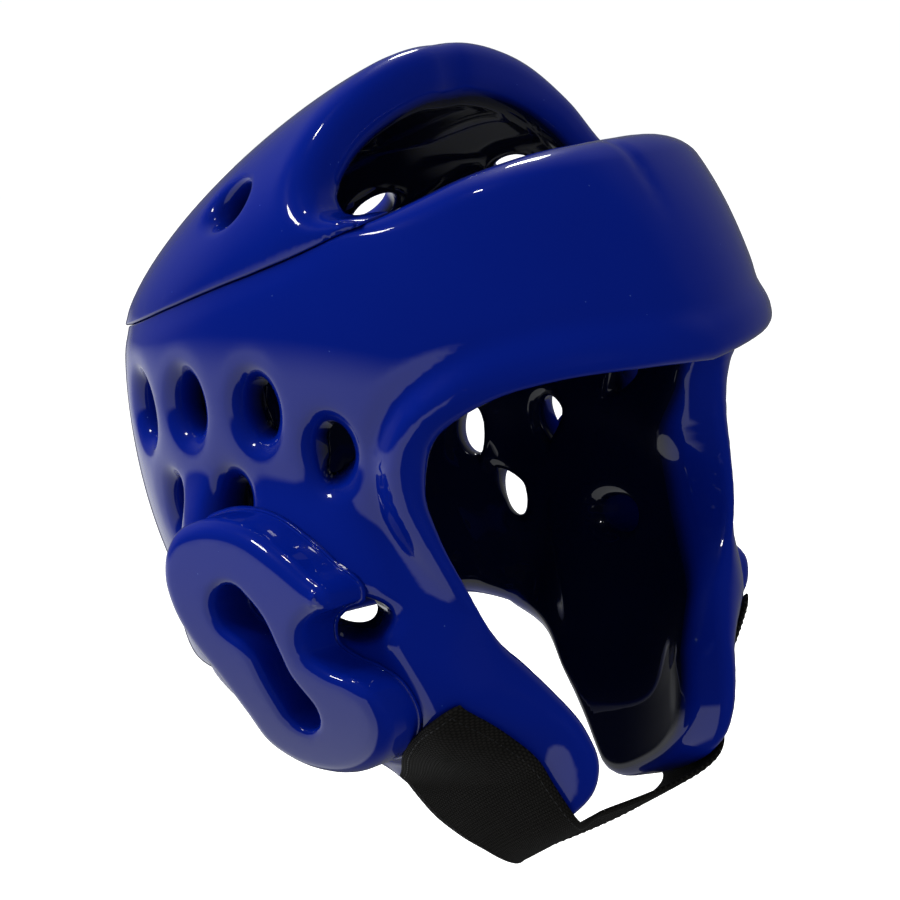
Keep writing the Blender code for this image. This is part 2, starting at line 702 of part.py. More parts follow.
def strap_half():
    """Grid of the strap's inner face from its end on the left cheek to the centre line."""
    rows = np.stack([column(STRAP_ROWS, STRAP_COLUMNS, name) for name in STRAP_COLUMNS], axis=1)
    fine = np.linspace(0, len(rows) - 1, STRAP_CHEEK_ROWS)
    edges = np.stack([smooth(np.arange(len(rows)), rows[:, place], fine) for place in range(4)])
    share = np.linspace(0, 1, STRAP_CELLS_ACROSS + 1)[None, :]
    azimuth = np.radians(edges[0][:, None] * (1 - share) + edges[2][:, None] * share)
    height = height_of(edges[1][:, None] * (1 - share) + edges[3][:, None] * share)
    plan = np.stack([azimuth * HALF_WIDTH, height], axis=-1)
    probe = 1e-4
    right = shell_outer(plan + (probe, 0)) - shell_outer(plan)
    up = shell_outer(plan + (0, probe)) - shell_outer(plan)
    normal = np.cross(right, up)
    normal /= np.linalg.norm(normal, axis=2)[:, :, None]
    cheek = shell_outer(plan) + STRAP_LIFT * normal
    tilt = math.radians(STRAP_TILT)
    half = STRAP_WIDTH / 2 * np.array([0.0, math.cos(tilt), -math.sin(tilt)])
    middle = np.array([0.0, -STRAP_FORWARD, STRAP_LEVEL * CHEEK_DROP])
    ends = middle + (2 * share.T - 1) * half
    last = cheek[-1]
    leaving = last - cheek[-2]
    leaving /= np.linalg.norm(leaving, axis=1)[:, None]
    span = np.linalg.norm(ends - last, axis=1)[:, None] * STRAP_FULLNESS
    free = []
    for t in np.linspace(0, 1, STRAP_FREE_ROWS)[1:]:
        here = (2 * t**3 - 3 * t**2 + 1) * last + (t**3 - 2 * t**2 + t) * leaving * span
        there = (3 * t**2 - 2 * t**3) * ends + (t**3 - t**2) * np.array([-1.0, 0.0, 0.0]) * span
        free.append(here + there)
    return np.concatenate([cheek, np.array(free)])


def make_strap():
    """Webbing from one cheek, under the chin, to the other cheek."""
    half = strap_half()
    grid = np.concatenate([half, half[-2::-1] * (-1, 1, 1)])
    along = np.gradient(grid, axis=0)
    across = np.gradient(grid, axis=1)
    normal = np.cross(across, along)
    normal /= np.linalg.norm(normal, axis=2)[:, :, None]
    outward = grid - np.array([0.0, -STRAP_FORWARD, -CHEEK_DROP / 2])
    normal *= np.sign(np.sum(normal * outward, axis=2))[:, :, None]
    layers = np.stack([grid, grid + normal * STRAP_THICKNESS])
    lengths, widths = grid.shape[:2]
    index = np.arange(2 * lengths * widths).reshape(2, lengths, widths)
    faces = []
    for row in range(lengths - 1):
        for place in range(widths - 1):
            inner = index[0, row:row + 2, place:place + 2]
            outer = index[1, row:row + 2, place:place + 2]
            faces.append((inner[0, 0], inner[0, 1], inner[1, 1], inner[1, 0]))
            faces.append((outer[0, 0], outer[1, 0], outer[1, 1], outer[0, 1]))
        for place, turn in ((0, 1), (widths - 1, -1)):
            rim = (index[0, row, place], index[0, row + 1, place],
                   index[1, row + 1, place], index[1, row, place])
            faces.append(rim[::turn])
    for place in range(widths - 1):
        for row, turn in ((0, -1), (lengths - 1, 1)):
            end = (index[0, row, place], index[0, row, place + 1],
                   index[1, row, place + 1], index[1, row, place])
            faces.append(end[::-turn])
    faces = [tuple(int(corner) for corner in face) for face in faces]
    return make_object("chin_strap", layers.reshape(-1, 3), faces, COLOURS["strap"], 0.7)


def main():
    for thing in list(bpy.data.objects):
        bpy.data.objects.remove(thing, do_unlink=True)
    head_seat = bpy.data.objects.new("head_seat", None)
    bpy.context.scene.collection.objects.link(head_seat)
    bearing = crown_inner(np.array([0.0, SEAT_BACK]))
    pieces = [make_shell(), make_crown(), make_ear_pad("ear_pad_left", 1),
              make_ear_pad("ear_pad_right", -1), make_strap()]
    for piece in pieces:
        piece.parent = head_seat
        piece.location = -bearing


main()
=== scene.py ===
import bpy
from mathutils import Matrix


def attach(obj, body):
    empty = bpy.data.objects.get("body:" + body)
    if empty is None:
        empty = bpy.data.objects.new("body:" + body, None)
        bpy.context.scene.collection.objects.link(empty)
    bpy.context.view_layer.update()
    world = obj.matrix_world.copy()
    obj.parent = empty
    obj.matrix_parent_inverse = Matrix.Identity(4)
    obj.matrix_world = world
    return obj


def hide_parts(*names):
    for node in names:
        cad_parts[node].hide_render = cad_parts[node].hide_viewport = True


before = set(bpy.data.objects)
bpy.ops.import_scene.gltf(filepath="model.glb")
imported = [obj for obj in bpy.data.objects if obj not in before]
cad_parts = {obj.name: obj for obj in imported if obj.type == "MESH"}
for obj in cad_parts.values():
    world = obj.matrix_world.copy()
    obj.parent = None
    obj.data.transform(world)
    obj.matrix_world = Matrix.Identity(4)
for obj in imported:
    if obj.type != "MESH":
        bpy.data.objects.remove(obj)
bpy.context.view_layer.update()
print("frame loaded:", sorted(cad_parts))

import math

import bmesh
import bpy
import numpy as np
from mathutils import Matrix
from mathutils.geometry import delaunay_2d_cdt
from mathutils.kdtree import KDTree

# The rounded form that every foam piece is cut from, in metres round the middle of the head.
# sections: height share, then shares of halfWidth, frontDepth and rearDepth
headForm = {
    "halfWidth": 0.102,
    "frontDepth": 0.124,
    "rearDepth": 0.1215,
    "bandTop": 0.0955,
    "crownTop": 0.1385,
    "cheekDrop": 0.152,
    "foam": 0.019,
    "ringPower": 2.3,
    "sections": (
        (-1.10, 0.500, 0.790, 0.570),
        (-0.86, 0.628, 0.856, 0.690),
        (-0.59, 0.772, 0.870, 0.800),
        (-0.30, 0.938, 0.962, 0.945),
        (0.00, 1.000, 1.035, 1.010),
        (0.47, 1.000, 0.960, 0.972),
        (0.84, 0.925, 0.835, 0.870),
        (1.15, 0.800, 0.660, 0.730),
    ),
}
halfWidth = headForm["halfWidth"]
foam = headForm["foam"]


def columns(rows):
    return np.array(rows, float).T


def heightOf(share):
    share = np.asarray(share, float)
    return np.where(share > 0, share * headForm["bandTop"], share * headForm["cheekDrop"])


def smooth(knots, values, at):
    knots = np.asarray(knots, float)
    values = np.asarray(values, float)
    at = np.clip(np.asarray(at, float), knots[0], knots[-1])
    slopes = np.gradient(values, knots)
    cell = np.clip(np.searchsorted(knots, at, side="right") - 1, 0, len(knots) - 2)
    width = knots[cell + 1] - knots[cell]
    t = (at - knots[cell]) / width
    start = (2 * t**3 - 3 * t**2 + 1) * values[cell] + (t**3 - 2 * t**2 + t) * width * slopes[cell]
    end = (3 * t**2 - 2 * t**3) * values[cell + 1] + (t**3 - t**2) * width * slopes[cell + 1]
    return start + end


def ease(t):
    t = np.clip(t, 0, 1)
    return t * t * (3 - 2 * t)


def smoothPath(points, spacing, closed=False):
    points = np.asarray(points, float)
    if closed:
        points = np.vstack([points[-2:], points, points[:3]])
    knots = np.concatenate([[0.0], np.cumsum(np.linalg.norm(np.diff(points[:, :2], axis=0), axis=1))])
    start, end = (knots[2], knots[-3]) if closed else (knots[0], knots[-1])
    at = np.linspace(start, end, max(4, round((end - start) / spacing)) + 1)
    if closed:
        at = at[:-1]
    return np.stack([smooth(knots, values, at) for values in points.T], axis=1)


def ringPoint(azimuth, height, inset):
    share, wide, front, rear = columns(headForm["sections"])
    wide = halfWidth * smooth(heightOf(share), wide, height)
    front = headForm["frontDepth"] * smooth(heightOf(share), front, height)
    rear = headForm["rearDepth"] * smooth(heightOf(share), rear, height)
    along = np.cos(azimuth)
    deep = np.where(along > 0, front, rear) - inset
    power = headForm["ringPower"]
    reach = np.abs(np.sin(azimuth) / (wide - inset)) ** power + np.abs(along / deep) ** power
    radius = reach ** (-1 / power)
    return np.stack([radius * np.sin(azimuth), -radius * along, height + 0 * azimuth], axis=-1)


# Ear pads, and the swelling of the shell that carries them
earPad = {
    "length": 0.098,
    "height": 0.091,
    "forward": 0.009,
    "drop": 0.065,
    "face": 0.1255,
    "edge": 0.0065,
    "notchEdge": 0.0055,
    "slotEdge": 0.0040,
    "fillet": 0.0015,
    "leanFrom": -0.03496,
    "leanCurve": 3.6,
    "crown": 0.0006,
    "crownReach": 1.2,
    "gap": 0.0007,
    "slotRadius": 0.0075,
    "slotCapTurn": 78,
    "slotCapSteps": 12,
    "notch": (-0.20, 0.035),
    "notchReach": 0.022,
    "spacing": 0.0028,
    "outlineSpacing": 0.0022,
    "slotSpacing": 0.002,
    "soleEdge": 0.0005,
    "soleTries": 12,
    "filletLevels": 5,
    "sink": 0.0004,
    "swellFace": 0.1055,
    "swellLength": 0.102,
    "swellHeight": 0.100,
    "swellLean": 0.45,
    "swellFade": 0.22,
    "swellPower": 3,
    "sideStart": 0.4,
    "sideEnd": 0.65,
    "earRoom": 0.5,
    "outline": (
        (0.436, 0.375), (0.462, 0.265), (0.448, 0.155), (0.392, 0.010), (0.299, -0.145),
        (0.236, -0.295), (0.196, -0.425), (0.082, -0.520), (-0.078, -0.548), (-0.254, -0.500),
        (-0.380, -0.400), (-0.445, -0.265), (-0.422, -0.165), (-0.346, -0.105), (-0.244, -0.065),
        (-0.171, -0.005), (-0.183, 0.080), (-0.261, 0.150), (-0.334, 0.185), (-0.331, 0.215),
        (-0.234, 0.305), (-0.104, 0.405), (0.026, 0.475), (0.146, 0.500), (0.276, 0.490),
        (0.376, 0.450),
    ),
    "slot": (
        (0.128, 0.150, 1.22), (0.060, 0.085, 1.10), (0.014, -0.015, 0.86), (-0.010, -0.125, 0.86),
        (-0.055, -0.250, 1.08),
    ),
}


# How far a pad's face, and the swelling under it, lean in towards the cheek
def lean(height):
    return earPad["leanCurve"] * np.clip(earPad["leanFrom"] - height, 0, None) ** 2


def swollen(point, share):
    up = point[..., 2] + earPad["drop"]
    back = (point[..., 1] + earPad["forward"] - earPad["swellLean"] * up) / (earPad["swellLength"] / 2)
    up = up / (earPad["swellHeight"] / 2)
    power = earPad["swellPower"]
    reach = (np.abs(back) ** power + np.abs(up) ** power) ** (1 / power)
    fade = earPad["swellFade"]
    outer = ringPoint(np.arctan2(point[..., 0], -point[..., 1]), point[..., 2], 0.0)
    start, end = earPad["sideStart"], earPad["sideEnd"]
    side = (np.abs(point[..., 0]) / halfWidth - start) / (end - start)
    face = earPad["swellFace"] - lean(point[..., 2])
    rise = np.clip(face - np.abs(outer[..., 0]), 0, None) * np.clip(side, 0, 1)
    rise = rise * ease((1 + fade - reach) / (2 * fade))
    result = point.copy()
    result[..., 0] += np.sign(point[..., 0]) * rise * share
    return result


# Shell: band, cheeks and nape. topEdge: azimuth, height share, roundness.
# lowerEdge: azimuth, height share, edge radius and rim height in mm.
# vents: azimuth, height share, and how many mm further back the hole comes out inside
shell = {
    "lipRadius": 0.008,
    "seamRadius": 0.0007,
    "napeFlare": 0.0095,
    "napeFrom": -0.046,
    "napeDepth": 0.034,
    "napeInside": 0.6,
    "napeStart": 1.55,
    "napeSpread": 0.45,
    "spacing": 0.0027,
    "edgeSpacing": 0.0024,
    "guideSpacing": 0.004,
    "levels": 7,
    "ventWidth": 0.019,
    "ventHeight": 0.025,
    "ventRadius": 0.0055,
    "ventSoftness": 0.0011,
    "shoulderSpread": 0.18,
    "ventSides": 44,
    "earHoleLength": 0.031,
    "earHoleHeight": 0.019,
    "earHoleForward": 0.036,
    "earHoleDrop": 0.05715,
    "earHoleSlant": 0.023,
    "earHoleReach": 1.9,
    "earHoleTrail": 1.25,
    "holeTaper": 0.64,
    "earHoleTaper": (0.98, 0.69),
    "taperReach": 2.2,
    "slantReach": 2.6,
    "rimCrest": 0.0085,
    "rimWidth": 0.0065,
    "rimValley": 0.0185,
    "valleyWidth": 0.0038,
    "valleyShare": 0.35,
    "creaseDepth": 0.0009,
    "creaseWidth": 0.0035,
    "creaseFade": 0.034,
    "seamDip": 0.0012,
    "seamDipWidth": 0.006,
    "seamDipStart": 1.0,
    "seamDipSpread": 0.5,
    "topEdge": (
        (0, 1.005, 1.0), (24, 0.990, 1.0), (34, 0.965, 1.0), (43, 0.930, 1.0), (51, 0.885, 1.0),
        (59, 0.838, 0.8), (67, 0.795, 0.2), (76, 0.738, 0.0), (89, 0.669, 0.0), (100, 0.616, 0.0),
        (114, 0.546, 0.0), (129, 0.478, 0.0), (152, 0.420, 0.0), (180, 0.400, 0.0),
    ),
    "lowerEdge": (
        (0, 0.178, 5.0, 1.5), (17, 0.205, 5.0, 1.5), (31, 0.207, 5.0, 1.5), (41, 0.170, 6.0, 1.7),
        (47.5, 0.111, 7.0, 3.2), (52, 0.045, 8.0, 5.0), (54.2, -0.020, 8.5, 5.2), (54.4, -0.100, 8.5, 4.2),
        (51.8, -0.199, 8.5, 3.0), (48.1, -0.305, 8.5, 2.6), (41.7, -0.472, 8.5, 2.4),
        (32.9, -0.607, 8.5, 2.0), (26.9, -0.705, 8.0, 1.4), (24.3, -0.797, 7.5, 0.7),
        (25.5, -0.871, 7.0, 0.3), (29.5, -0.925, 7.0, 0.0), (37, -0.970, 7.0, 0.0), (47, -0.995, 7.0, 0.0),
        (56, -0.982, 7.0, 0.0), (64, -0.938, 7.0, 0.0), (72, -0.885, 7.0, 0.0), (81, -0.825, 7.0, 0.0),
        (90, -0.765, 7.5, 0.0), (99, -0.708, 8.0, 0.0), (108, -0.652, 8.0, 0.0), (117, -0.606, 8.0, 0.0),
        (127, -0.578, 8.0, 0.0), (142, -0.575, 8.0, 0.0), (160, -0.585, 8.0, 0.0), (180, -0.592, 8.0, 0.0),
    ),
    "vents": (
        (73.5, 0.000, 3.0), (91.0, 0.165, 3.0), (111.5, 0.172, 6.0), (129.5, 0.134, 8.0),
        (100.5, -0.132, 4.0), (121.5, -0.155, 8.6), (116.0, -0.335, 1.3),
    ),
}


def earHoleCentre():
    sideAzimuths = np.linspace(0.3, 2.2, 60)  # from the brow's side to well behind the ear
    ring = ringPoint(sideAzimuths, -shell["earHoleDrop"] + 0 * sideAzimuths, 0.0)
    azimuth = np.interp(-shell["earHoleForward"], ring[:, 1], sideAzimuths)
    return np.array([halfWidth * azimuth, -shell["earHoleDrop"]])


def lowerEdge(spacing):
    azimuth, share, radius, rim = columns(shell["lowerEdge"])
    rows = np.stack([np.radians(azimuth) * halfWidth, heightOf(share), radius / 1000, rim / 1000], axis=1)
    return smoothPath(rows, spacing)


def seamHeight(azimuth):
    degrees, share, _ = columns(shell["topEdge"])
    return headForm["bandTop"] * smooth(np.radians(degrees), share, np.abs(azimuth))


rimGuide = lowerEdge(shell["guideSpacing"])
ventCentres = [np.array([math.radians(azimuth) * halfWidth, float(heightOf(share))])
               for azimuth, share, _ in shell["vents"]]


def shellForm(plan):
    return swollen(ringPoint(plan[..., 0] / halfWidth, plan[..., 1], 0.0), 1.0)


# How far the skin stands proud of the plain form: rim and valley, vent shoulders, brow crease, seam, nape
def shellRelief(plan):
    flat = plan.reshape(-1, 2)
    away = np.full(len(flat), 1.0)
    rim = np.zeros(len(flat))
    batch = 20000
    for start in range(0, len(flat), batch):
        part = flat[start:start + batch]
        gaps = np.hypot(part[:, None, 0] - rimGuide[None, :, 0], part[:, None, 1] - rimGuide[None, :, 1])
        nearest = gaps.argmin(axis=1)
        away[start:start + batch] = gaps[np.arange(len(part)), nearest]
        rim[start:start + batch] = rimGuide[nearest, 3]
    rise = rim * np.exp(-((away - shell["rimCrest"]) / shell["rimWidth"]) ** 2)
    rise -= rim * shell["valleyShare"] * np.exp(-((away - shell["rimValley"]) / shell["valleyWidth"]) ** 2)
    for centre in ventCentres:
        across = (flat[:, 0] - centre[0]) / (shell["ventWidth"] / 2)
        up = (flat[:, 1] - centre[1]) / (shell["ventHeight"] / 2)
        beyond = np.clip(np.hypot(across, up) - 1, 0, None)
        rise -= shell["ventSoftness"] * np.exp(-beyond ** 2 / shell["shoulderSpread"])
    top = seamHeight(flat[:, 0] / halfWidth) - flat[:, 1]
    fold = np.exp(-(flat[:, 0] / shell["creaseWidth"]) ** 2) * ease(1 - top / shell["creaseFade"])
    rise -= shell["creaseDepth"] * fold
    rear = ease((flat[:, 0] / halfWidth - shell["seamDipStart"]) / shell["seamDipSpread"])
    rise -= shell["seamDip"] * np.exp(-(top / shell["seamDipWidth"]) ** 2) * rear
    return rise.reshape(plan.shape[:-1]) + napeFlare(plan)


# The nape turns outwards towards its lower edge
def napeFlare(plan):
    down = ease((shell["napeFrom"] - plan[..., 1]) / shell["napeDepth"])
    rear = ease((plan[..., 0] / halfWidth - shell["napeStart"]) / shell["napeSpread"])
    return shell["napeFlare"] * down * rear


def normalOf(form, plan, probe=2e-4):
    right = form(plan + (probe, 0)) - form(plan - (probe, 0))
    up = form(plan + (0, probe)) - form(plan - (0, probe))
    normal = np.cross(right, up)
    return normal / np.linalg.norm(normal, axis=-1)[..., None]


def shellOuter(plan):
    return shellForm(plan) + normalOf(shellForm, plan) * shellRelief(plan)[..., None]


# The plan drawn in and carried back round each hole, which narrows and slants on its way through the foam
def throughFoam(plan):
    result = plan.copy()
    size = np.array([shell["ventWidth"], shell["ventHeight"]]) / 2
    taper = np.full(2, shell["holeTaper"])
    holes = [(centre, size, taper, row[2] / 1000) for centre, row in zip(ventCentres, shell["vents"])]
    size = np.array([shell["earHoleLength"], shell["earHoleHeight"]]) / 2
    holes.append((earHoleCentre(), size, np.array(shell["earHoleTaper"]), 0.0))
    limit = shell["taperReach"]
    for centre, size, taper, slant in holes:
        reach = np.linalg.norm((plan - centre) / size, axis=-1)[..., None]
        spread = taper + (reach - 1) * (limit - taper) / (limit - 1)
        drawn = np.where(reach > 1, spread / np.maximum(reach, 1), taper)
        result += np.where(reach < limit, drawn - 1, 0) * (plan - centre)
        carried = slant * ease((shell["slantReach"] - reach[..., 0]) / (shell["slantReach"] - 1))
        result[..., 0] += carried
    return result


def shellInner(plan):
    hole = earHoleCentre()
    back = plan[..., 0] - hole[0]
    back = np.where(back > 0, back / shell["earHoleTrail"], back)
    away = np.hypot(back, plan[..., 1] - hole[1]) / shell["earHoleLength"]
    plan = throughFoam(plan)
    azimuth = plan[..., 0] / halfWidth
    azimuth = azimuth + shell["earHoleSlant"] / halfWidth * ease(shell["earHoleReach"] - away)
    inset = foam - shell["napeInside"] * napeFlare(plan)
    return swollen(ringPoint(azimuth, plan[..., 1], inset), earPad["earRoom"])


# Crown pad in its own plan: a unit disc of (across, back) round the apex. lip: across, back, roundness
crown = {
    "apexSetback": -0.026,
    "sidePower": 1.94,
    "rearPower": 1.3,
    "holeWidth": 0.018,
    "holeLength": 0.023,
    "holeRadius": 0.0055,
    "seatBack": 0.24,
    "lipRadius": 0.0105,
    "lipThickening": 0.38,
    "lipFade": 0.4,
    "footFade": 8,
    "clearance": 0.00006,
    "footAzimuth": 78.0,
    "seamRows": 12,
    "spacing": 0.0026,
    "lip": (
        (0.00, 0.040, 1.0), (0.30, 0.055, 1.0), (0.60, 0.070, 1.0), (0.80, 0.055, 1.0), (0.89, 0.015, 0.8),
        (0.945, -0.060, 0.45), (0.965, -0.150, 0.2),
    ),
    "holes": ((0.675, 0.362), (0.330, 0.670)),
}


def crownSkin(plan, inset):
    apex = crown["apexSetback"]
    azimuths = np.linspace(0, math.pi, 241)
    ring = ringPoint(azimuths, seamHeight(azimuths) + crown["clearance"], inset)
    turns = np.arctan2(ring[:, 0], -(ring[:, 1] - apex))
    turn = np.arctan2(plan[..., 0], -plan[..., 1])
    reach = np.clip(np.hypot(plan[..., 0], plan[..., 1]), 0, 1)
    base = np.stack([np.interp(turn, turns, values) for values in ring.T], axis=-1)
    power = crown["sidePower"] + (crown["rearPower"] - crown["sidePower"]) * np.clip(-np.cos(turn), 0, 1)
    share = reach + (np.sin(reach * math.pi / 2) - reach) * (power - 1)
    rise = np.clip(1 - share**power, 0, 1) ** (1 / power)
    up = base[..., 2] + (headForm["crownTop"] - inset - base[..., 2]) * rise
    return np.stack([base[..., 0] * share, apex * (1 - share) + base[..., 1] * share, up], axis=-1)


def crownOuter(plan):
    return crownSkin(plan, 0.0)


def crownInner(plan):
    top = crownOuter(plan)
    fade = np.clip(1 - plan[..., 1:] / crown["lipFade"], 0, 1)
    fade = fade * np.clip(crown["footFade"] * (1 - np.abs(plan[..., :1])), 0, 1)
    return top + (crownSkin(plan, foam) - top) * (1 + crown["lipThickening"] * fade)


headSeat = crownInner(np.array([0.0, crown["seatBack"]]))


# Padded plates: a plan is meshed once and laid on the outer and the inner skin, with rounded edges
def inward(points, closed):
    if closed:
        tangent = np.roll(points, -1, axis=0) - np.roll(points, 1, axis=0)
    else:
        tangent = np.gradient(points, axis=0)
    normal = np.stack([-tangent[:, 1], tangent[:, 0]], axis=1)
    if not closed:
        normal[[0, -1], 0] = 0
    return normal / np.linalg.norm(normal, axis=1)[:, None]


def edgeRings(points, radii, closed, skin, levels):
    normal = inward(points, closed)
    probe = 0.001 * np.ptp(points, axis=0).max()
    stretch = np.linalg.norm(skin(points + normal * probe) - skin(points), axis=1) / probe
    rings = []
    for level in range(levels + 1):
        distance = radii * (1 - math.cos(level / levels * math.pi / 2))
        rings.append((points + normal * (distance / stretch)[:, None], distance))
    return rings


def inside(polygon, points):
    result = np.zeros(len(points), bool)
    for start, end in zip(polygon, np.roll(polygon, -1, axis=0)):
        crosses = (start[1] > points[:, 1]) != (end[1] > points[:, 1])
        rise = end[1] - start[1]
        along = (points[:, 1] - start[1]) / (rise if rise else 1.0)
        result ^= crosses & (points[:, 0] < start[0] + along * (end[0] - start[0]))
    return result


def hexGrid(polygon, spacing):
    low, high = polygon.min(axis=0), polygon.max(axis=0)
    rise = spacing * math.sqrt(3) / 2
    rows = []
    for row in range(int((high[1] - low[1]) / rise) + 1):
        across = np.arange(low[0] + 0.5 * spacing * (row % 2), high[0], spacing)
        rows.append(np.stack([across, np.full(len(across), low[1] + row * rise)], axis=1))
    return np.vstack(rows)


def triangulate(points, loops):
    edges = []
    for loop in loops:
        edges.extend(zip(loop, loop[1:] + loop[:1]))
    corners, _, faces, sources, _, _ = delaunay_2d_cdt([tuple(point) for point in points], edges, [], 0, 1e-9)
    source = [entry[0] for entry in sources]
    corners = np.array([tuple(corner) for corner in corners])
    centres = corners[np.array(faces)].mean(axis=1)
    keep = inside(points[loops[0]], centres)
    for loop in loops[1:]:
        keep &= ~inside(points[loop], centres)
    return [tuple(source[corner] for corner in face) for face, kept in zip(faces, keep) if kept]


def lowered(distance, radius):
    share = np.clip(1 - distance / radius, 0, 1)
    return radius * (1 - np.sqrt(1 - share**2))


# Where the painted shade on the inner skin starts behind a bottom edge, and how far it takes to be full
innerShadeStart = 0.0005
innerShadeSpread = 0.004


# Gives the corners, the faces, and each corner's share of the painted shade on the inner skin and hole walls
def plateMesh(runs, holes, outer, inner, spacing, levels, soleRadius=None, filletSkin=None):
    mirrored = abs(outer(runs[0][0][:1])[0, 0]) < 1e-6
    farOff, noRadius, clearance = 1.0, 1e-3, 0.6 * spacing  # for the points away from every edge
    points, distances, radii, depths = [], [], [], []

    def add(newPoints, newDistances, newRadii, level):
        first = len(points)
        points.extend(newPoints)
        distances.extend(newDistances)
        radii.extend(newRadii)
        depths.extend([level] * len(newPoints))
        return list(range(first, len(points)))

    loops, ends, holeWalls = [], [], []
    for outline, edge in runs + holes:
        closed = not mirrored or len(loops) >= len(runs)
        rings = edgeRings(outline, edge, closed, outer, levels)
        made = [add(ring, distance, edge, level) for level, (ring, distance) in enumerate(rings)]
        if len(loops) >= len(runs):
            holeWalls.extend(corner for ring in made for corner in ring)
        loops.append(made[0])
        ends.append(([ring[0] for ring in made], [ring[-1] for ring in made]))
    centre, rim = [], []
    for number in range(len(runs)):
        rim.extend(loops[number])
        if mirrored:
            leaving = ends[number][1]
            arriving = ends[(number + 1) % len(runs)][0][::-1]
            start, end = np.array(points[leaving[-1]]), np.array(points[arriving[0]])
            count = max(2, round(np.linalg.norm(end - start) / spacing))
            between = [start + (end - start) * step / count for step in range(1, count)]
            middle = add(between, [farOff] * len(between), [noRadius] * len(between), levels)
            centre.extend(leaving + middle + arriving)
            rim.extend(leaving[1:] + middle + arriving[:-1])
    allLoops = [rim] + loops[len(runs):]
    edgePoints = np.array(points)
    grid = hexGrid(edgePoints[rim], spacing)
    keep = inside(edgePoints[rim], grid)
    for loop in allLoops[1:]:
        keep &= ~inside(edgePoints[loop], grid)
    grid = grid[keep]
    tree = KDTree(len(edgePoints))
    for number, place in enumerate(edgePoints):
        tree.insert((place[0], place[1], 0), number)
    tree.balance()
    found = [tree.find((place[0], place[1], 0)) for place in grid]
    kept = [gap > clearance and depths[number] == levels for _, number, gap in found]
    grid = grid[np.array(kept)]
    add(grid, [farOff] * len(grid), [noRadius] * len(grid), levels)

    plan = np.array(points)
    faces = triangulate(plan, allLoops)
    top, bottom = outer(plan), inner(plan)
    distance, radius = np.array(distances), np.array(radii)
    depth = np.linalg.norm(top - bottom, axis=1)
    down = (lowered(distance, radius) / depth)[:, None]
    sole = radius if soleRadius is None else np.full(len(radius), soleRadius)
    up = (lowered(distance, sole) / depth)[:, None]
    vertices = np.vstack([top + (bottom - top) * down, bottom + (top - bottom) * up])
    total = len(plan)
    uses = {}
    for face in faces:
        for start, end in zip(face, face[1:] + face[:1]):
            uses[(start, end)] = face
    onCentre = set(centre)
    steps = {}
    if filletSkin:
        vertices, steps = filletRings(vertices, loops, plan, filletSkin)
    meshFaces = list(faces) + [tuple(total + corner for corner in face[::-1]) for face in faces]
    for start, end in uses:
        if (end, start) in uses or (start in onCentre and end in onCentre):
            continue
        chainStart = [start] + steps.get(start, []) + [total + start]
        chainEnd = [end] + steps.get(end, []) + [total + end]
        for number in range(len(chainStart) - 1):
            ahead = (chainEnd[number], chainStart[number])
            meshFaces.append(ahead + (chainStart[number + 1], chainEnd[number + 1]))
    # Painted shade: the inner skin darkens from a little behind its edges, and the hole walls are fully dark
    innerShadeShare = np.zeros(len(vertices))
    innerShadeShare[total:2 * total] = ease((distance - innerShadeStart) / innerShadeSpread)
    innerShadeShare[[total + corner for corner in holeWalls]] = 1.0
    if mirrored:
        extra = [corner for corner in range(len(vertices))
                 if corner % total not in onCentre or corner >= 2 * total]
        vertices, meshFaces = mirrorHalf(vertices, meshFaces, onCentre, total)
        innerShadeShare = np.concatenate([innerShadeShare, innerShadeShare[extra]])
    return vertices, meshFaces, innerShadeShare


# Rings that flare a wall's foot out onto what it stands on
def filletRings(vertices, loops, plan, skin):
    radius, count = earPad["fillet"], earPad["filletLevels"]
    extra, steps = [], {corner: [] for loop in loops for corner in loop}
    following = len(vertices)
    for loop in loops:
        normal = inward(plan[loop], True)
        for level in range(count + 1):
            turn = level / count * math.pi / 2
            out = radius * (1 - math.cos(turn))
            ring = skin(plan[loop] - normal * out)
            ring[:, 0] += radius * (1 - math.sin(turn)) - earPad["sink"]
            for place, corner in enumerate(loop):
                extra.append(ring[place])
                steps[corner].append(following)
                following += 1
    return np.vstack([vertices, extra]), steps


def mirrorHalf(vertices, faces, onCentre, total):
    shared = onCentre | {total + corner for corner in onCentre}
    twin, extra = {}, []
    for corner in range(len(vertices)):
        if corner in shared:
            vertices[corner, 0] = 0.0
            twin[corner] = corner
        else:
            twin[corner] = len(vertices) + len(extra)
            extra.append(vertices[corner] * (-1, 1, 1))
    faces = faces + [tuple(twin[corner] for corner in face[::-1]) for face in faces]
    return np.vstack([vertices, extra]), faces


def oval(centre, width, height, skin, radius, sides):
    centre = np.array(centre, float)
    probe = 1e-4
    here, right, up = skin(np.array([centre, centre + (probe, 0), centre + (0, probe)]))
    right, up = (right - here) / probe, (up - here) / probe
    first = right / np.linalg.norm(right)
    second = up - first * up.dot(first)
    second /= np.linalg.norm(second)
    local = np.array([[right.dot(first), up.dot(first)], [right.dot(second), up.dot(second)]])
    angles = -np.arange(sides) / sides * 2 * math.pi
    shape = np.stack([width / 2 * np.cos(angles), height / 2 * np.sin(angles)])
    return centre + np.linalg.solve(local, shape).T, np.full(sides, radius)


def edgeRadius(roundness, openRadius):
    return shell["seamRadius"] + (openRadius - shell["seamRadius"]) * np.clip(roundness, 0, 1)


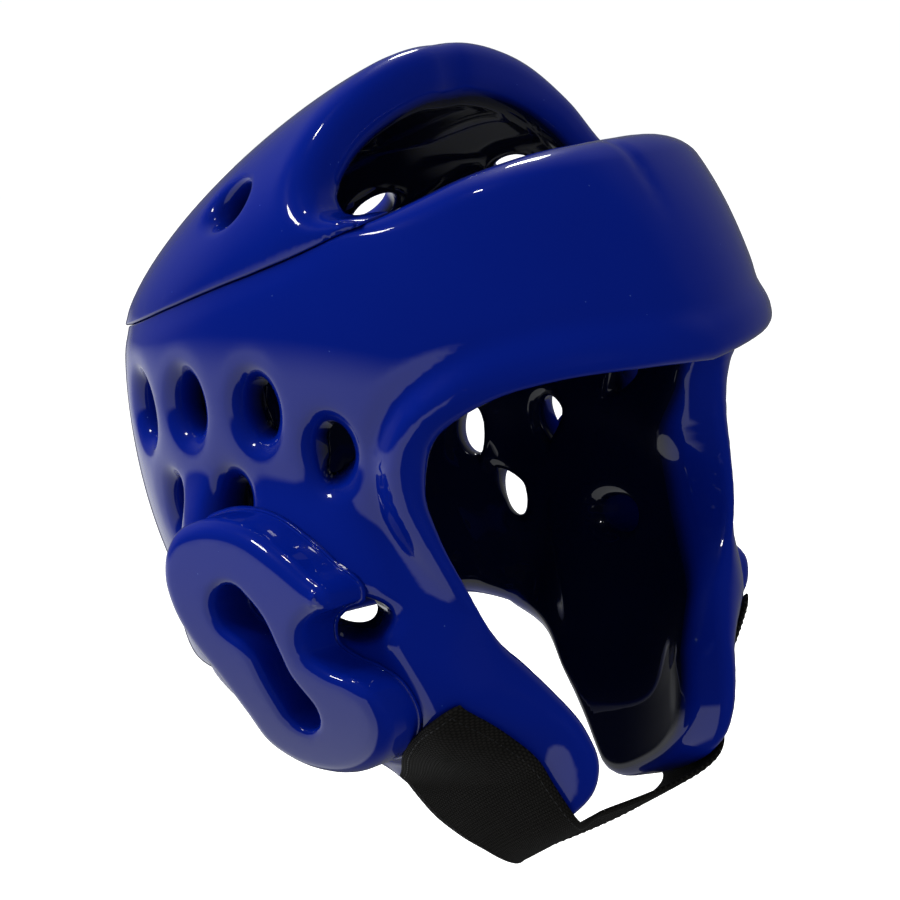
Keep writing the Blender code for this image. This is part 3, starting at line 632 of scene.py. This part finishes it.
def newPiece(name, vertices, faces, material, node=None, innerShadeShare=None):
    mesh = bpy.data.meshes.new(name)
    mesh.from_pydata([tuple(vertex) for vertex in np.asarray(vertices) - headSeat], [], faces)
    solid = bmesh.new()
    solid.from_mesh(mesh)
    bmesh.ops.recalc_face_normals(solid, faces=solid.faces)
    solid.to_mesh(mesh)
    solid.free()
    mesh.shade_smooth()
    mesh.materials.append(material)
    # Stores the painted shade that darkens the inner skin and hole walls
    if innerShadeShare is not None:
        attribute = mesh.attributes.new("paintedInnerShade", "FLOAT", "POINT")
        attribute.data.foreach_set("value", innerShadeShare.astype(np.float32))
    piece = bpy.data.objects.new(name, mesh)
    bpy.context.scene.collection.objects.link(piece)
    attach(piece, "root")
    if node:
        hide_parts(node)
    print(name, len(mesh.vertices), "vertices", len(mesh.polygons), "faces")
    return piece


# Node groups that more than one finish shares
def newGroup(name, inputs, outputs):
    group = bpy.data.node_groups.new(name, "ShaderNodeTree")
    for socket, kind, value in inputs:
        made = group.interface.new_socket(name=socket, in_out="INPUT", socket_type=kind)
        if value is not None:
            made.default_value = value
    for socket, kind in outputs:
        group.interface.new_socket(name=socket, in_out="OUTPUT", socket_type=kind)
    return group, group.nodes.new("NodeGroupInput"), group.nodes.new("NodeGroupOutput")


def feed(links, socket, value):
    if isinstance(value, bpy.types.NodeSocket):
        links.new(value, socket)
    else:
        socket.default_value = value


def mathNode(nodes, links, operation, first, second=None, clamp=False):
    node = nodes.new("ShaderNodeMath")
    node.operation = operation
    node.use_clamp = clamp
    for socket, value in zip(node.inputs, (first, second)):
        if value is not None:
            feed(links, socket, value)
    return node.outputs[0]


def noiseNode(nodes, links, vector, scale, detail, roughness=0.5):
    node = nodes.new("ShaderNodeTexNoise")
    for socket, value in (("Vector", vector), ("Scale", scale), ("Detail", detail), ("Roughness", roughness)):
        feed(links, node.inputs[socket], value)
    return node.outputs["Fac"]


def rangeNode(nodes, links, value, low, high, newLow=0.0, newHigh=1.0, kind="LINEAR"):
    node = nodes.new("ShaderNodeMapRange")
    node.interpolation_type = kind
    for socket, setting in (("Value", value), ("From Min", low), ("From Max", high),
                            ("To Min", newLow), ("To Max", newHigh)):
        feed(links, node.inputs[socket], setting)
    return node.outputs["Result"]


def mixNode(nodes, links, factor, first, second):
    node = nodes.new("ShaderNodeMix")
    node.data_type = "RGBA"
    for socket, value in (("Factor", factor), ("A", first), ("B", second)):
        feed(links, node.inputs[socket], value)
    return node.outputs["Result"]


def bumpNode(nodes, links, height, distance):
    node = nodes.new("ShaderNodeBump")
    node.inputs["Distance"].default_value = distance
    links.new(height, node.inputs["Height"])
    return node.outputs["Normal"]


# Slow ripples and fine peel of a dipped skin, as a height in metres
def peelGroup():
    group, entry, leave = newGroup(
        "dippedPeel",
        (("Vector", "NodeSocketVector", None), ("Ripple Scale", "NodeSocketFloat", 38.0),
         ("Ripple Height", "NodeSocketFloat", 0.0001), ("Peel Scale", "NodeSocketFloat", 420.0),
         ("Peel Height", "NodeSocketFloat", 0.000004)),
        (("Height", "NodeSocketFloat"),))
    nodes, links = group.nodes, group.links
    ripple = noiseNode(nodes, links, entry.outputs["Vector"], entry.outputs["Ripple Scale"], 2.0)
    peel = noiseNode(nodes, links, entry.outputs["Vector"], entry.outputs["Peel Scale"], 3.0)
    slow = mathNode(nodes, links, "MULTIPLY", ripple, entry.outputs["Ripple Height"])
    fine = mathNode(nodes, links, "MULTIPLY", peel, entry.outputs["Peel Height"])
    links.new(mathNode(nodes, links, "ADD", slow, fine), leave.inputs["Height"])
    return group


# Where the slow noises of the finishes start and stop, and how small and rare the specks are
undertone = {
    "driftRange": (0.3, 0.7),
    "rubRange": (0.35, 0.7),
    "speckSize": 0.055,
    "speckRarity": 0.93,
}


# Uneven depth of colour, with a few specks of dust under the gloss
def colourGroup():
    group, entry, leave = newGroup(
        "colourDrift",
        (("Vector", "NodeSocketVector", None), ("Colour", "NodeSocketColor", (0.0, 0.01, 0.2, 1)),
         ("Deep Colour", "NodeSocketColor", (0.0, 0.005, 0.12, 1)), ("Drift Scale", "NodeSocketFloat", 9.0),
         ("Speck Scale", "NodeSocketFloat", 240.0), ("Speck Colour", "NodeSocketColor", (0.2, 0.25, 0.5, 1))),
        (("Colour", "NodeSocketColor"), ("Speck", "NodeSocketFloat")))
    nodes, links = group.nodes, group.links
    place = entry.outputs["Vector"]
    drift = noiseNode(nodes, links, place, entry.outputs["Drift Scale"], 3.0)
    spread = rangeNode(nodes, links, drift, *undertone["driftRange"])
    tone = mixNode(nodes, links, spread, entry.outputs["Colour"], entry.outputs["Deep Colour"])
    dust = nodes.new("ShaderNodeTexVoronoi")
    links.new(place, dust.inputs["Vector"])
    links.new(entry.outputs["Speck Scale"], dust.inputs["Scale"])
    small = mathNode(nodes, links, "LESS_THAN", dust.outputs["Distance"], undertone["speckSize"])
    rare = nodes.new("ShaderNodeSeparateColor")
    links.new(dust.outputs["Color"], rare.inputs["Color"])
    chosen = mathNode(nodes, links, "GREATER_THAN", rare.outputs["Red"], undertone["speckRarity"])
    speck = mathNode(nodes, links, "MULTIPLY", small, chosen)
    specked = mixNode(nodes, links, speck, tone, entry.outputs["Speck Colour"])
    links.new(specked, leave.inputs["Colour"])
    links.new(speck, leave.inputs["Speck"])
    return group


# Handling marks that dull the gloss a little in patches
def rubGroup():
    group, entry, leave = newGroup(
        "rubbedGloss",
        (("Vector", "NodeSocketVector", None), ("Scale", "NodeSocketFloat", 14.0),
         ("Low", "NodeSocketFloat", 0.1), ("High", "NodeSocketFloat", 0.2)),
        (("Roughness", "NodeSocketFloat"),))
    nodes, links = group.nodes, group.links
    patches = noiseNode(nodes, links, entry.outputs["Vector"], entry.outputs["Scale"], 4.0, 0.6)
    ends = (entry.outputs["Low"], entry.outputs["High"])
    spread = rangeNode(nodes, links, patches, *undertone["rubRange"], *ends)
    links.new(spread, leave.inputs["Roughness"])
    return group


groups = {"peel": peelGroup(), "colour": colourGroup(), "rub": rubGroup()}


def groupNode(nodes, name, values):
    node = nodes.new("ShaderNodeGroup")
    node.node_tree = groups[name]
    for socket, value in values.items():
        node.inputs[socket].default_value = value
    return node


def newMaterial(name):
    material = bpy.data.materials.new(name)
    material.use_nodes = True
    nodes = material.node_tree.nodes
    return material, nodes, material.node_tree.links, nodes["Principled BSDF"]


# Glossy dipped skin over foam
dip = {
    "colour": (0.0006, 0.0130, 0.262, 1),
    "deepColour": (0.0005, 0.0110, 0.232, 1),
    "speckColour": (0.05, 0.10, 0.42, 1),
    # The dark colour below is painted shade for the unlit inside and the walls of the holes
    "innerShadeColour": (0.0006, 0.0018, 0.014, 1),
    "rippleHeight": 0.00010,
    "peelHeight": 0.000009,
    "roughLow": 0.30,
    "roughHigh": 0.42,
    "coat": 1.0,
    "coatRoughness": 0.025,
    "coatIor": 1.5,
    "underGloss": 0.04,
}


def dipMaterial(name, tone):
    material, nodes, links, shader = newMaterial(name)
    place = nodes.new("ShaderNodeTexCoord").outputs["Object"]
    toned = [tuple(value * tone for value in dip[key][:3]) + (1,) for key in ("colour", "deepColour")]
    colour = groupNode(nodes, "colour", {
        "Colour": toned[0], "Deep Colour": toned[1], "Speck Colour": dip["speckColour"]})
    rub = groupNode(nodes, "rub", {"Low": dip["roughLow"], "High": dip["roughHigh"]})
    peel = groupNode(nodes, "peel", {"Ripple Height": dip["rippleHeight"], "Peel Height": dip["peelHeight"]})
    for node in (colour, rub, peel):
        links.new(place, node.inputs["Vector"])
    # Painted shade: the inner skin and hole walls are mixed towards the dark colour
    inner = nodes.new("ShaderNodeAttribute")
    inner.attribute_name = "paintedInnerShade"
    skin = mixNode(nodes, links, inner.outputs["Fac"], colour.outputs["Colour"], dip["innerShadeColour"])
    links.new(skin, shader.inputs["Base Color"])
    links.new(rub.outputs["Roughness"], shader.inputs["Roughness"])
    links.new(bumpNode(nodes, links, peel.outputs["Height"], 1.0), shader.inputs["Normal"])
    shader.inputs["Coat Weight"].default_value = dip["coat"]
    shader.inputs["Coat Roughness"].default_value = dip["coatRoughness"]
    shader.inputs["Coat IOR"].default_value = dip["coatIor"]
    shader.inputs["Specular IOR Level"].default_value = dip["underGloss"]
    return material


# Black twill webbing, read along its UV: U across the strap, V along it, both in metres
weave = {
    "colour": (0.0016, 0.0014, 0.0011, 1),
    # The lighter colour below is a painted highlight on the thread crowns
    "crownHighlightColour": (0.0200, 0.0185, 0.0160, 1),
    "acrossThreads": 1150.0,
    "alongThreads": 800.0,
    "height": 0.00030,
    "roundness": 0.6,
    "fuzzScale": 2600.0,
    "fuzz": 0.35,
    "slubScale": 120.0,
    "contrast": 0.62,
    "roughness": 0.7,
    "specular": 0.12,
    "sheen": 0.01,
}


def weaveMaterial():
    material, nodes, links, shader = newMaterial("blackWebbing")
    uv = nodes.new("ShaderNodeUVMap")
    uv.uv_map = "strapPlan"
    split = nodes.new("ShaderNodeSeparateXYZ")
    links.new(uv.outputs["UV"], split.inputs["Vector"])

    def calc(operation, first, second=None, clamp=False):
        return mathNode(nodes, links, operation, first, second, clamp)

    row = calc("MULTIPLY", split.outputs["Y"], weave["alongThreads"])
    step = calc("MULTIPLY", calc("FLOOR", row), 0.5)
    shifted = calc("ADD", calc("MULTIPLY", split.outputs["X"], weave["acrossThreads"]), step)
    across = calc("ABSOLUTE", calc("SINE", calc("MULTIPLY", shifted, math.pi)))
    along = calc("ABSOLUTE", calc("SINE", calc("MULTIPLY", row, math.pi)))
    strand = calc("MULTIPLY", across, calc("POWER", along, weave["roundness"]))
    fuzz = noiseNode(nodes, links, uv.outputs["UV"], weave["fuzzScale"], 3.0)
    slubs = noiseNode(nodes, links, uv.outputs["UV"], weave["slubScale"], 2.0)
    uneven = calc("MULTIPLY", strand, calc("ADD", slubs, 0.5))
    total = calc("ADD", uneven, calc("MULTIPLY", fuzz, weave["fuzz"]))
    # Painted light and shade: thread crowns lighter and gaps darker after the weave's relief, varied by random
    # slubs and fuzz
    lit = calc("MULTIPLY", total, weave["contrast"], True)
    colour = mixNode(nodes, links, lit, weave["colour"], weave["crownHighlightColour"])
    links.new(colour, shader.inputs["Base Color"])
    links.new(bumpNode(nodes, links, total, weave["height"]), shader.inputs["Normal"])
    shader.inputs["Roughness"].default_value = weave["roughness"]
    shader.inputs["Sheen Weight"].default_value = weave["sheen"]
    shader.inputs["Specular IOR Level"].default_value = weave["specular"]
    return material


# Sewing thread
thread = {
    "colour": (0.012, 0.012, 0.013, 1),
    "deepColour": (0.006, 0.006, 0.007, 1),
    "speckColour": (0.03, 0.03, 0.03, 1),
    "twistScale": 1800.0,
    "twistHeight": 0.0001,
    "roughness": 0.5,
}


def threadMaterial():
    material, nodes, links, shader = newMaterial("blackThread")
    place = nodes.new("ShaderNodeTexCoord").outputs["Object"]
    colour = groupNode(nodes, "colour", {
        "Colour": thread["colour"], "Deep Colour": thread["deepColour"], "Speck Colour": thread["speckColour"]})
    links.new(place, colour.inputs["Vector"])
    twist = noiseNode(nodes, links, place, thread["twistScale"], 2.0)
    links.new(colour.outputs["Colour"], shader.inputs["Base Color"])
    links.new(bumpNode(nodes, links, twist, thread["twistHeight"]), shader.inputs["Normal"])
    shader.inputs["Roughness"].default_value = thread["roughness"]
    return material


materials = {
    "shell": dipMaterial("shellDip", 1.0),
    "crown": dipMaterial("crownDip", 1.0),
    "pad": dipMaterial("padDip", 1.03),
    "web": weaveMaterial(),
    "thread": threadMaterial(),
}
print("materials made")


def makeShell():
    degrees, share, roundness = columns(shell["topEdge"])
    top = np.stack([np.radians(degrees) * halfWidth, headForm["bandTop"] * share, roundness], axis=1)
    top = smoothPath(top, shell["edgeSpacing"])[::-1]
    top[:, 1] = seamHeight(top[:, 0] / halfWidth)
    lower = lowerEdge(shell["edgeSpacing"])
    runs = [(lower[:, :2], lower[:, 2]), (top[:, :2], edgeRadius(top[:, 2], shell["lipRadius"]))]
    sizes = [(shell["ventWidth"], shell["ventHeight"])] * len(ventCentres)
    sizes.append((shell["earHoleLength"], shell["earHoleHeight"]))
    holes = [oval(centre, width, height, shellOuter, shell["ventRadius"], shell["ventSides"])
             for centre, (width, height) in zip(ventCentres + [earHoleCentre()], sizes)]
    spacing, levels = shell["spacing"], shell["levels"]
    vertices, faces, innerShadeShare = plateMesh(runs, holes, shellOuter, shellInner, spacing, levels)
    piece = newPiece("foamShell", vertices, faces, materials["shell"], "shell", innerShadeShare)


def makeCrown():
    lip = np.array(crown["lip"], float)
    turns = np.linspace(math.radians(crown["footAzimuth"]), math.pi, crown["seamRows"])
    seam = np.stack([np.sin(turns), -np.cos(turns), 0 * turns], axis=1)
    rim = smoothPath(np.vstack([lip, seam]), shell["edgeSpacing"] / halfWidth)
    rim[-1, :2] = (0, 1)
    runs = [(rim[:, :2], edgeRadius(rim[:, 2], crown["lipRadius"]))]
    width, length, radius = crown["holeWidth"], crown["holeLength"], crown["holeRadius"]
    holes = [oval(place, width, length, crownOuter, radius, shell["ventSides"]) for place in crown["holes"]]
    spacing = crown["spacing"] / halfWidth
    vertices, faces, innerShadeShare = plateMesh(runs, holes, crownOuter, crownInner, spacing, shell["levels"])
    piece = newPiece("crownPad", vertices, faces, materials["crown"], "crown_pad", innerShadeShare)


def padOuter(plan):
    middle = np.array([-earPad["forward"], -earPad["drop"]])
    away = np.linalg.norm((plan - middle) / (earPad["length"] / 2, earPad["height"] / 2), axis=-1)
    face = earPad["face"] - earPad["crown"] * np.clip(away, 0, earPad["crownReach"]) ** 2 - lean(plan[..., 1])
    return np.stack([face, plan[..., 0], plan[..., 1]], axis=-1)


def padSole(plan):
    azimuth = np.arctan2(halfWidth + 0 * plan[..., 0], -plan[..., 0])
    for _ in range(earPad["soleTries"]):
        point = shellForm(np.stack([azimuth * halfWidth, plan[..., 1]], axis=-1))
        azimuth = azimuth + (plan[..., 0] - point[..., 1]) / halfWidth
    point = shellForm(np.stack([azimuth * halfWidth, plan[..., 1]], axis=-1))
    return np.stack([point[..., 0] + earPad["gap"], plan[..., 0], plan[..., 1]], axis=-1)


def padPlace(shares):
    return np.array(shares) * (earPad["length"], earPad["height"]) - (earPad["forward"], earPad["drop"])


def padOutline():
    return smoothPath(padPlace(earPad["outline"]), earPad["outlineSpacing"], closed=True)[::-1]


def slotOutline():
    slot = np.array(earPad["slot"])
    rows = np.column_stack([padPlace(slot[:, :2]), earPad["slotRadius"] * slot[:, 2]])
    spine = smoothPath(rows, earPad["slotSpacing"])
    along = np.gradient(spine[:, :2], axis=0)
    along /= np.linalg.norm(along, axis=1)[:, None]
    side = np.stack([-along[:, 1], along[:, 0]], axis=1) * spine[:, 2:]
    caps = []
    for end, sign in ((0, -1), (-1, 1)):
        turns = np.radians(np.linspace(earPad["slotCapTurn"], -earPad["slotCapTurn"], earPad["slotCapSteps"]))
        caps.append([spine[end, :2] + sign * along[end] * spine[end, 2] * math.cos(turn)
                     + side[end] * math.sin(turn) * sign for turn in turns])
    return np.vstack([spine[:, :2] + side, caps[1], (spine[:, :2] - side)[::-1], caps[0]])


def makeEarPads():
    outline, slot = padOutline(), slotOutline()
    fromNotch = np.linalg.norm(outline - padPlace(earPad["notch"]), axis=1)
    near = np.exp(-(fromNotch / earPad["notchReach"]) ** 2)
    edge = earPad["edge"] + (earPad["notchEdge"] - earPad["edge"]) * near
    runs = [(outline, edge)]
    holes = [(slot, np.full(len(slot), earPad["slotEdge"]))]
    spacing, levels = earPad["spacing"], shell["levels"]
    vertices, faces, _ = plateMesh(runs, holes, padOuter, padSole, spacing, levels, earPad["soleEdge"], padSole)
    for name, node, side in (("earPadLeft", "ear_pad_left", 1), ("earPadRight", "ear_pad_right", -1)):
        piece = newPiece(name, vertices * (side, 1, 1), faces, materials["pad"], node)


# Chin strap. cheek: the azimuths and heights of its front and rear edges on one cheek
strap = {
    "width": 0.040,
    "thickness": 0.002,
    "drop": 0.161,
    "forward": 0.037,
    "tilt": 27.5,
    "fullness": 0.7,
    "lift": 0.0012,
    "across": 24,
    "cheekRows": 44,
    "freeRows": 56,
    "stitchInset": 0.0022,
    "stitchPitch": 0.0030,
    "stitchLength": 0.0023,
    "stitchRadius": 0.00028,
    "stitchSink": 0.9,
    "stitchEndRow": 2,
    "stitchProbe": 0.0004,
    "stitchForm": ((-0.5, 0.3), (-0.38, 0.85), (0, 1.0), (0.38, 0.85), (0.5, 0.3)),
    "edgeThinning": 0.45,
    "edgePower": 18,
    "selvedgeRise": 0.00018,
    "selvedgeAt": 0.93,
    "selvedgeWidth": 0.04,
    "bevel": 0.0006,
    "bevelSteps": 3,
    "bevelAngle": 50,
    "cheek": (
        (46.0, -0.582, 75.0, -0.802), (42.0, -0.650, 71.0, -0.860), (38.4, -0.735, 66.0, -0.915),
        (35.0, -0.815, 58.5, -0.965), (31.5, -0.885, 51.5, -1.000),
    ),
}


def strapHalf():
    rows = np.array(strap["cheek"])
    fine = np.linspace(0, len(rows) - 1, strap["cheekRows"])
    front, frontHeight, rear, rearHeight = [smooth(np.arange(len(rows)), values, fine) for values in rows.T]
    share = np.linspace(0, 1, strap["across"] + 1)[None, :]
    azimuth = np.radians(front[:, None] * (1 - share) + rear[:, None] * share)
    height = heightOf(frontHeight[:, None] * (1 - share) + rearHeight[:, None] * share)
    plan = np.stack([azimuth * halfWidth, height], axis=-1)
    cheek = shellOuter(plan) + strap["lift"] * normalOf(shellForm, plan)
    tilt = math.radians(strap["tilt"])
    half = strap["width"] / 2 * np.array([0.0, math.cos(tilt), -math.sin(tilt)])
    ends = np.array([0.0, -strap["forward"], -strap["drop"]]) + (2 * share.T - 1) * half
    last = cheek[-1]
    leaving = last - cheek[-2]
    leaving /= np.linalg.norm(leaving, axis=1)[:, None]
    span = np.linalg.norm(ends - last, axis=1)[:, None] * strap["fullness"]
    free = []
    for t in np.linspace(0, 1, strap["freeRows"])[1:]:
        here = (2 * t**3 - 3 * t**2 + 1) * last + (t**3 - 2 * t**2 + t) * leaving * span
        there = (3 * t**2 - 2 * t**3) * ends + (t**3 - t**2) * np.array([-1.0, 0.0, 0.0]) * span
        free.append(here + there)
    return np.concatenate([cheek, np.array(free)])


def makeStrap():
    half = strapHalf()
    grid = np.concatenate([half, half[-2::-1] * (-1, 1, 1)])
    normal = np.cross(np.gradient(grid, axis=1), np.gradient(grid, axis=0))
    normal /= np.linalg.norm(normal, axis=2)[:, :, None]
    outward = grid - np.array([0.0, -strap["forward"], -headForm["cheekDrop"] / 2])
    normal *= np.sign(np.sum(normal * outward, axis=2))[:, :, None]
    share = np.linspace(-1, 1, grid.shape[1])
    thin = 1 - strap["edgeThinning"] * np.abs(share) ** strap["edgePower"]
    fromSelvedge = (np.abs(share) - strap["selvedgeAt"]) / strap["selvedgeWidth"]
    selvedge = strap["selvedgeRise"] * np.exp(-fromSelvedge ** 2)
    outerFace = grid + normal * (strap["thickness"] * thin + selvedge)[None, :, None]
    layers = np.stack([grid, outerFace])
    lengths, widths = grid.shape[:2]
    along = np.concatenate([[0], np.cumsum(np.linalg.norm(np.diff(grid[:, widths // 2], axis=0), axis=1))])
    index = np.arange(2 * lengths * widths).reshape(2, lengths, widths)
    faces = []
    for row in range(lengths - 1):
        for place in range(widths - 1):
            for layer, turn in ((0, 1), (1, -1)):
                quad = index[layer, row:row + 2, place:place + 2]
                faces.append((quad[0, 0], quad[0, 1], quad[1, 1], quad[1, 0])[::turn])
        for place, turn in ((0, 1), (widths - 1, -1)):
            near, far = index[:, row, place], index[:, row + 1, place]
            faces.append((near[0], far[0], far[1], near[1])[::turn])
    for place in range(widths - 1):
        for row, turn in ((0, -1), (lengths - 1, 1)):
            near, far = index[:, row, place], index[:, row, place + 1]
            faces.append((near[0], far[0], far[1], near[1])[::-turn])
    faces = [tuple(int(corner) for corner in face) for face in faces]
    piece = newPiece("chinStrap", layers.reshape(-1, 3), faces, materials["web"], "chin_strap")
    chart = piece.data.uv_layers.new(name="strapPlan")
    plan = np.stack(np.broadcast_arrays((share / 2 * strap["width"])[None, :], along[:, None]), axis=-1)
    plan = np.concatenate([plan.reshape(-1, 2), plan.reshape(-1, 2)])
    corners = np.zeros(len(piece.data.loops), int)
    piece.data.loops.foreach_get("vertex_index", corners)
    chart.data.foreach_set("uv", plan[corners].astype(np.float32).ravel())
    edges = piece.modifiers.new("softEdges", "BEVEL")
    edges.width = strap["bevel"]
    edges.segments = strap["bevelSteps"]
    edges.limit_method = "ANGLE"
    edges.angle_limit = math.radians(strap["bevelAngle"])
    makeStitches(outerFace, normal)
    print("strap length", round(float(along[-1]), 4))


def stitchAt(centre, direction, normal, sides=6):
    direction = direction / np.linalg.norm(direction)
    side = np.cross(normal, direction)
    vertices, length, radius = [], strap["stitchLength"], strap["stitchRadius"]
    for offset, size in strap["stitchForm"]:
        for step in range(sides):
            turn = step / sides * 2 * math.pi
            sunk = -strap["stitchSink"] * radius * (2 * abs(offset)) ** 2
            vertices.append(centre + direction * offset * length + normal * sunk
                            + (side * math.cos(turn) + normal * math.sin(turn)) * radius * size)
    rings = len(strap["stitchForm"]) - 1
    faces = [tuple(range(sides)), tuple(rings * sides + step for step in range(sides))[::-1]]
    for ring in range(rings):
        for step in range(sides):
            following = (step + 1) % sides
            faces.append((ring * sides + step, ring * sides + following, (ring + 1) * sides + following,
                          (ring + 1) * sides + step))
    return vertices, faces


def makeStitches(face, normal):
    lengths, widths = face.shape[:2]
    inset = strap["stitchInset"] / strap["width"] * (widths - 1)
    lines = []
    for column in (inset, widths - 1 - inset):
        low = int(column)
        mix = column - low
        lines.append((face[:, low] * (1 - mix) + face[:, low + 1] * mix, normal[:, low]))
    for row in (strap["stitchEndRow"], lengths - 1 - strap["stitchEndRow"]):
        lines.append((face[row, 1:-1], normal[row, 1:-1]))
    vertices, faces = [], []
    for line, lineNormal in lines:
        run = np.concatenate([[0], np.cumsum(np.linalg.norm(np.diff(line, axis=0), axis=1))])
        for at in np.arange(strap["stitchPitch"] / 2, run[-1], strap["stitchPitch"]):
            centre = np.array([np.interp(at, run, values) for values in line.T])
            ahead = np.array([np.interp(at + strap["stitchProbe"], run, values) for values in line.T])
            up = np.array([np.interp(at, run, values) for values in lineNormal.T])
            made, madeFaces = stitchAt(centre, ahead - centre + 1e-9, up / np.linalg.norm(up))
            faces.extend(tuple(len(vertices) + corner for corner in one) for one in madeFaces)
            vertices.extend(made)
    newPiece("strapStitches", vertices, faces, materials["thread"])


makeShell()
makeCrown()
makeEarPads()
makeStrap()
print("pieces made")

# The photograph's viewpoint: azimuth and elevation round the head's middle, the roll of its tilt, the lens
shot = {
    "azimuth": -49.81,
    "elevation": 7.88,
    "roll": 6.0,
    "distance": 1.16595,
    "lens": 124.26,
    "shiftX": 0.00354,
    "shiftY": -0.04982,
}

# Floor and sky. Spans and tops are where a glow starts and is full, along a direction or upwards
studio = {
    "floorDrop": 0.46,
    "floorSize": 12.0,
    "lampTarget": (0.0, 0.0, -0.12),
    "floorGlow": 1.0,
    "skyGlow": 1.05,
    "ambient": 0.43,
    "mirrorGlow": 0.008,
    "sweepGlow": 0.80,
    "sweepAzimuth": -137.0,
    "sweepSpan": (0.17, 0.29),
    "sweepTop": (-0.13, 0.05),
    "backGlow": 0.13,
    "backSpan": (0.0, 0.7),
    "skyColour": (0.96, 0.98, 1.0, 1),
    "floorTint": (0.60, 0.63),
    "floorGrain": 60.0,
    "floorRoughness": 0.9,
}


def directionOf(azimuth, elevation):
    a, e = math.radians(azimuth), math.radians(elevation)
    return np.array([math.sin(a) * math.cos(e), -math.cos(a) * math.cos(e), math.sin(e)])


# Lamps round the object: azimuth and elevation as the views count them, distance, width, height, watts,
# whether the gloss mirrors them
panels = {
    "keyLamp": (-104, 52, 1.6, 0.20, 0.20, 3.6, True),
    "sideLamp": (122, 46, 1.6, 0.20, 0.20, 3.6, True),
    "topLamp": (-30, 80, 1.6, 0.10, 0.10, 1.2, True),
    "frontFill": (-10, -6, 2.2, 1.2, 1.2, 11, False),
    "crownFill": (-140, 50, 1.8, 1.0, 1.0, 13, False),
    "rimLeft": (-168, 24, 1.6, 1.2, 1.2, 15, False),
    "rimRight": (104, 22, 1.6, 1.2, 1.2, 14, False),
}


# A world that looks white, lights evenly, and mirrors as a white sweep low on one side with a dim back wall
def makeSky():
    world = bpy.data.worlds.new("studio")
    bpy.context.scene.world = world
    world.use_nodes = True
    nodes, links = world.node_tree.nodes, world.node_tree.links
    ray = nodes.new("ShaderNodeLightPath").outputs
    way = nodes.new("ShaderNodeTexCoord").outputs["Generated"]

    def calc(operation, first, second):
        return mathNode(nodes, links, operation, first, second)

    def fade(value, low, high):
        return rangeNode(nodes, links, value, low, high, kind="SMOOTHSTEP")

    def along(azimuth, low, high):
        dot = nodes.new("ShaderNodeVectorMath")
        dot.operation = "DOT_PRODUCT"
        links.new(way, dot.inputs[0])
        dot.inputs[1].default_value = tuple(directionOf(azimuth, 0))
        return fade(dot.outputs["Value"], low, high)

    split = nodes.new("ShaderNodeSeparateXYZ")
    links.new(way, split.inputs["Vector"])
    below = calc("SUBTRACT", 1.0, fade(split.outputs["Z"], *studio["sweepTop"]))
    sweep = calc("MULTIPLY", along(studio["sweepAzimuth"], *studio["sweepSpan"]), below)
    sweep = calc("MULTIPLY", sweep, studio["sweepGlow"])
    wall = calc("MULTIPLY", along(shot["azimuth"] + 180, *studio["backSpan"]), studio["backGlow"])
    mirrored = calc("MAXIMUM", calc("MAXIMUM", sweep, wall), studio["mirrorGlow"])
    total = 0.0
    for name, strength in (("Is Camera Ray", studio["skyGlow"]), ("Is Diffuse Ray", studio["ambient"]),
                           ("Is Glossy Ray", mirrored)):
        total = calc("ADD", calc("MULTIPLY", ray[name], strength), total)
    links.new(total, nodes["Background"].inputs["Strength"])
    nodes["Background"].inputs["Color"].default_value = studio["skyColour"]


# Links a lamp or camera, and turns it so that it looks against back
def standAt(thing, right, up, back, spot):
    bpy.context.scene.collection.objects.link(thing)
    rows = [(*row, spot[i]) for i, row in enumerate(np.stack([right, up, back], axis=1))]
    thing.matrix_world = Matrix(rows + [(0, 0, 0, 1)])


def makeFloor():
    bpy.ops.mesh.primitive_grid_add(x_subdivisions=8, y_subdivisions=8, size=studio["floorSize"])
    floor = bpy.context.object
    floor.name = "floor"
    floor.location = (0, 0, -studio["floorDrop"])
    material, nodes, links, shader = newMaterial("paleFloor")
    place = nodes.new("ShaderNodeTexCoord").outputs["Object"]
    grain = noiseNode(nodes, links, place, studio["floorGrain"], 4.0)
    tint = rangeNode(nodes, links, grain, 0.0, 1.0, *studio["floorTint"])
    links.new(tint, shader.inputs["Base Color"])
    shader.inputs["Roughness"].default_value = studio["floorRoughness"]
    shader.inputs["Emission Color"].default_value = (1, 1, 1, 1)
    shader.inputs["Emission Strength"].default_value = studio["floorGlow"]
    floor.data.materials.append(material)
    floor.visible_glossy = False
    floor.visible_diffuse = False


def makeLamps():
    target = np.array(studio["lampTarget"])
    for name, (azimuth, elevation, distance, width, height, watts, glossy) in panels.items():
        light = bpy.data.lights.new(name, "AREA")
        light.shape = "RECTANGLE"
        light.size = width
        light.size_y = height
        light.energy = watts
        lamp = bpy.data.objects.new(name, light)
        a = math.radians(azimuth)
        back, right = directionOf(azimuth, elevation), np.array([math.cos(a), math.sin(a), 0.0])
        standAt(lamp, right, np.cross(back, right), back, target + back * distance)
        lamp.visible_camera = False
        lamp.visible_glossy = glossy


def makeCamera():
    back = directionOf(shot["azimuth"], shot["elevation"])
    a = math.radians(shot["azimuth"])
    right = np.array([math.cos(a), math.sin(a), 0.0])
    up = np.cross(back, right)
    roll = math.radians(shot["roll"])
    across = math.cos(roll) * right - math.sin(roll) * up
    upward = math.sin(roll) * right + math.cos(roll) * up
    data = bpy.data.cameras.new("shot")
    data.sensor_width = 36
    data.lens = shot["lens"]
    data.shift_x = shot["shiftX"]
    data.shift_y = shot["shiftY"]
    camera = bpy.data.objects.new("shot", data)
    standAt(camera, across, upward, back, back * shot["distance"] - headSeat)
    bpy.context.scene.camera = camera


makeFloor()
makeSky()
makeLamps()
makeCamera()
bpy.context.scene.view_settings.view_transform = "Standard"
print("studio made")
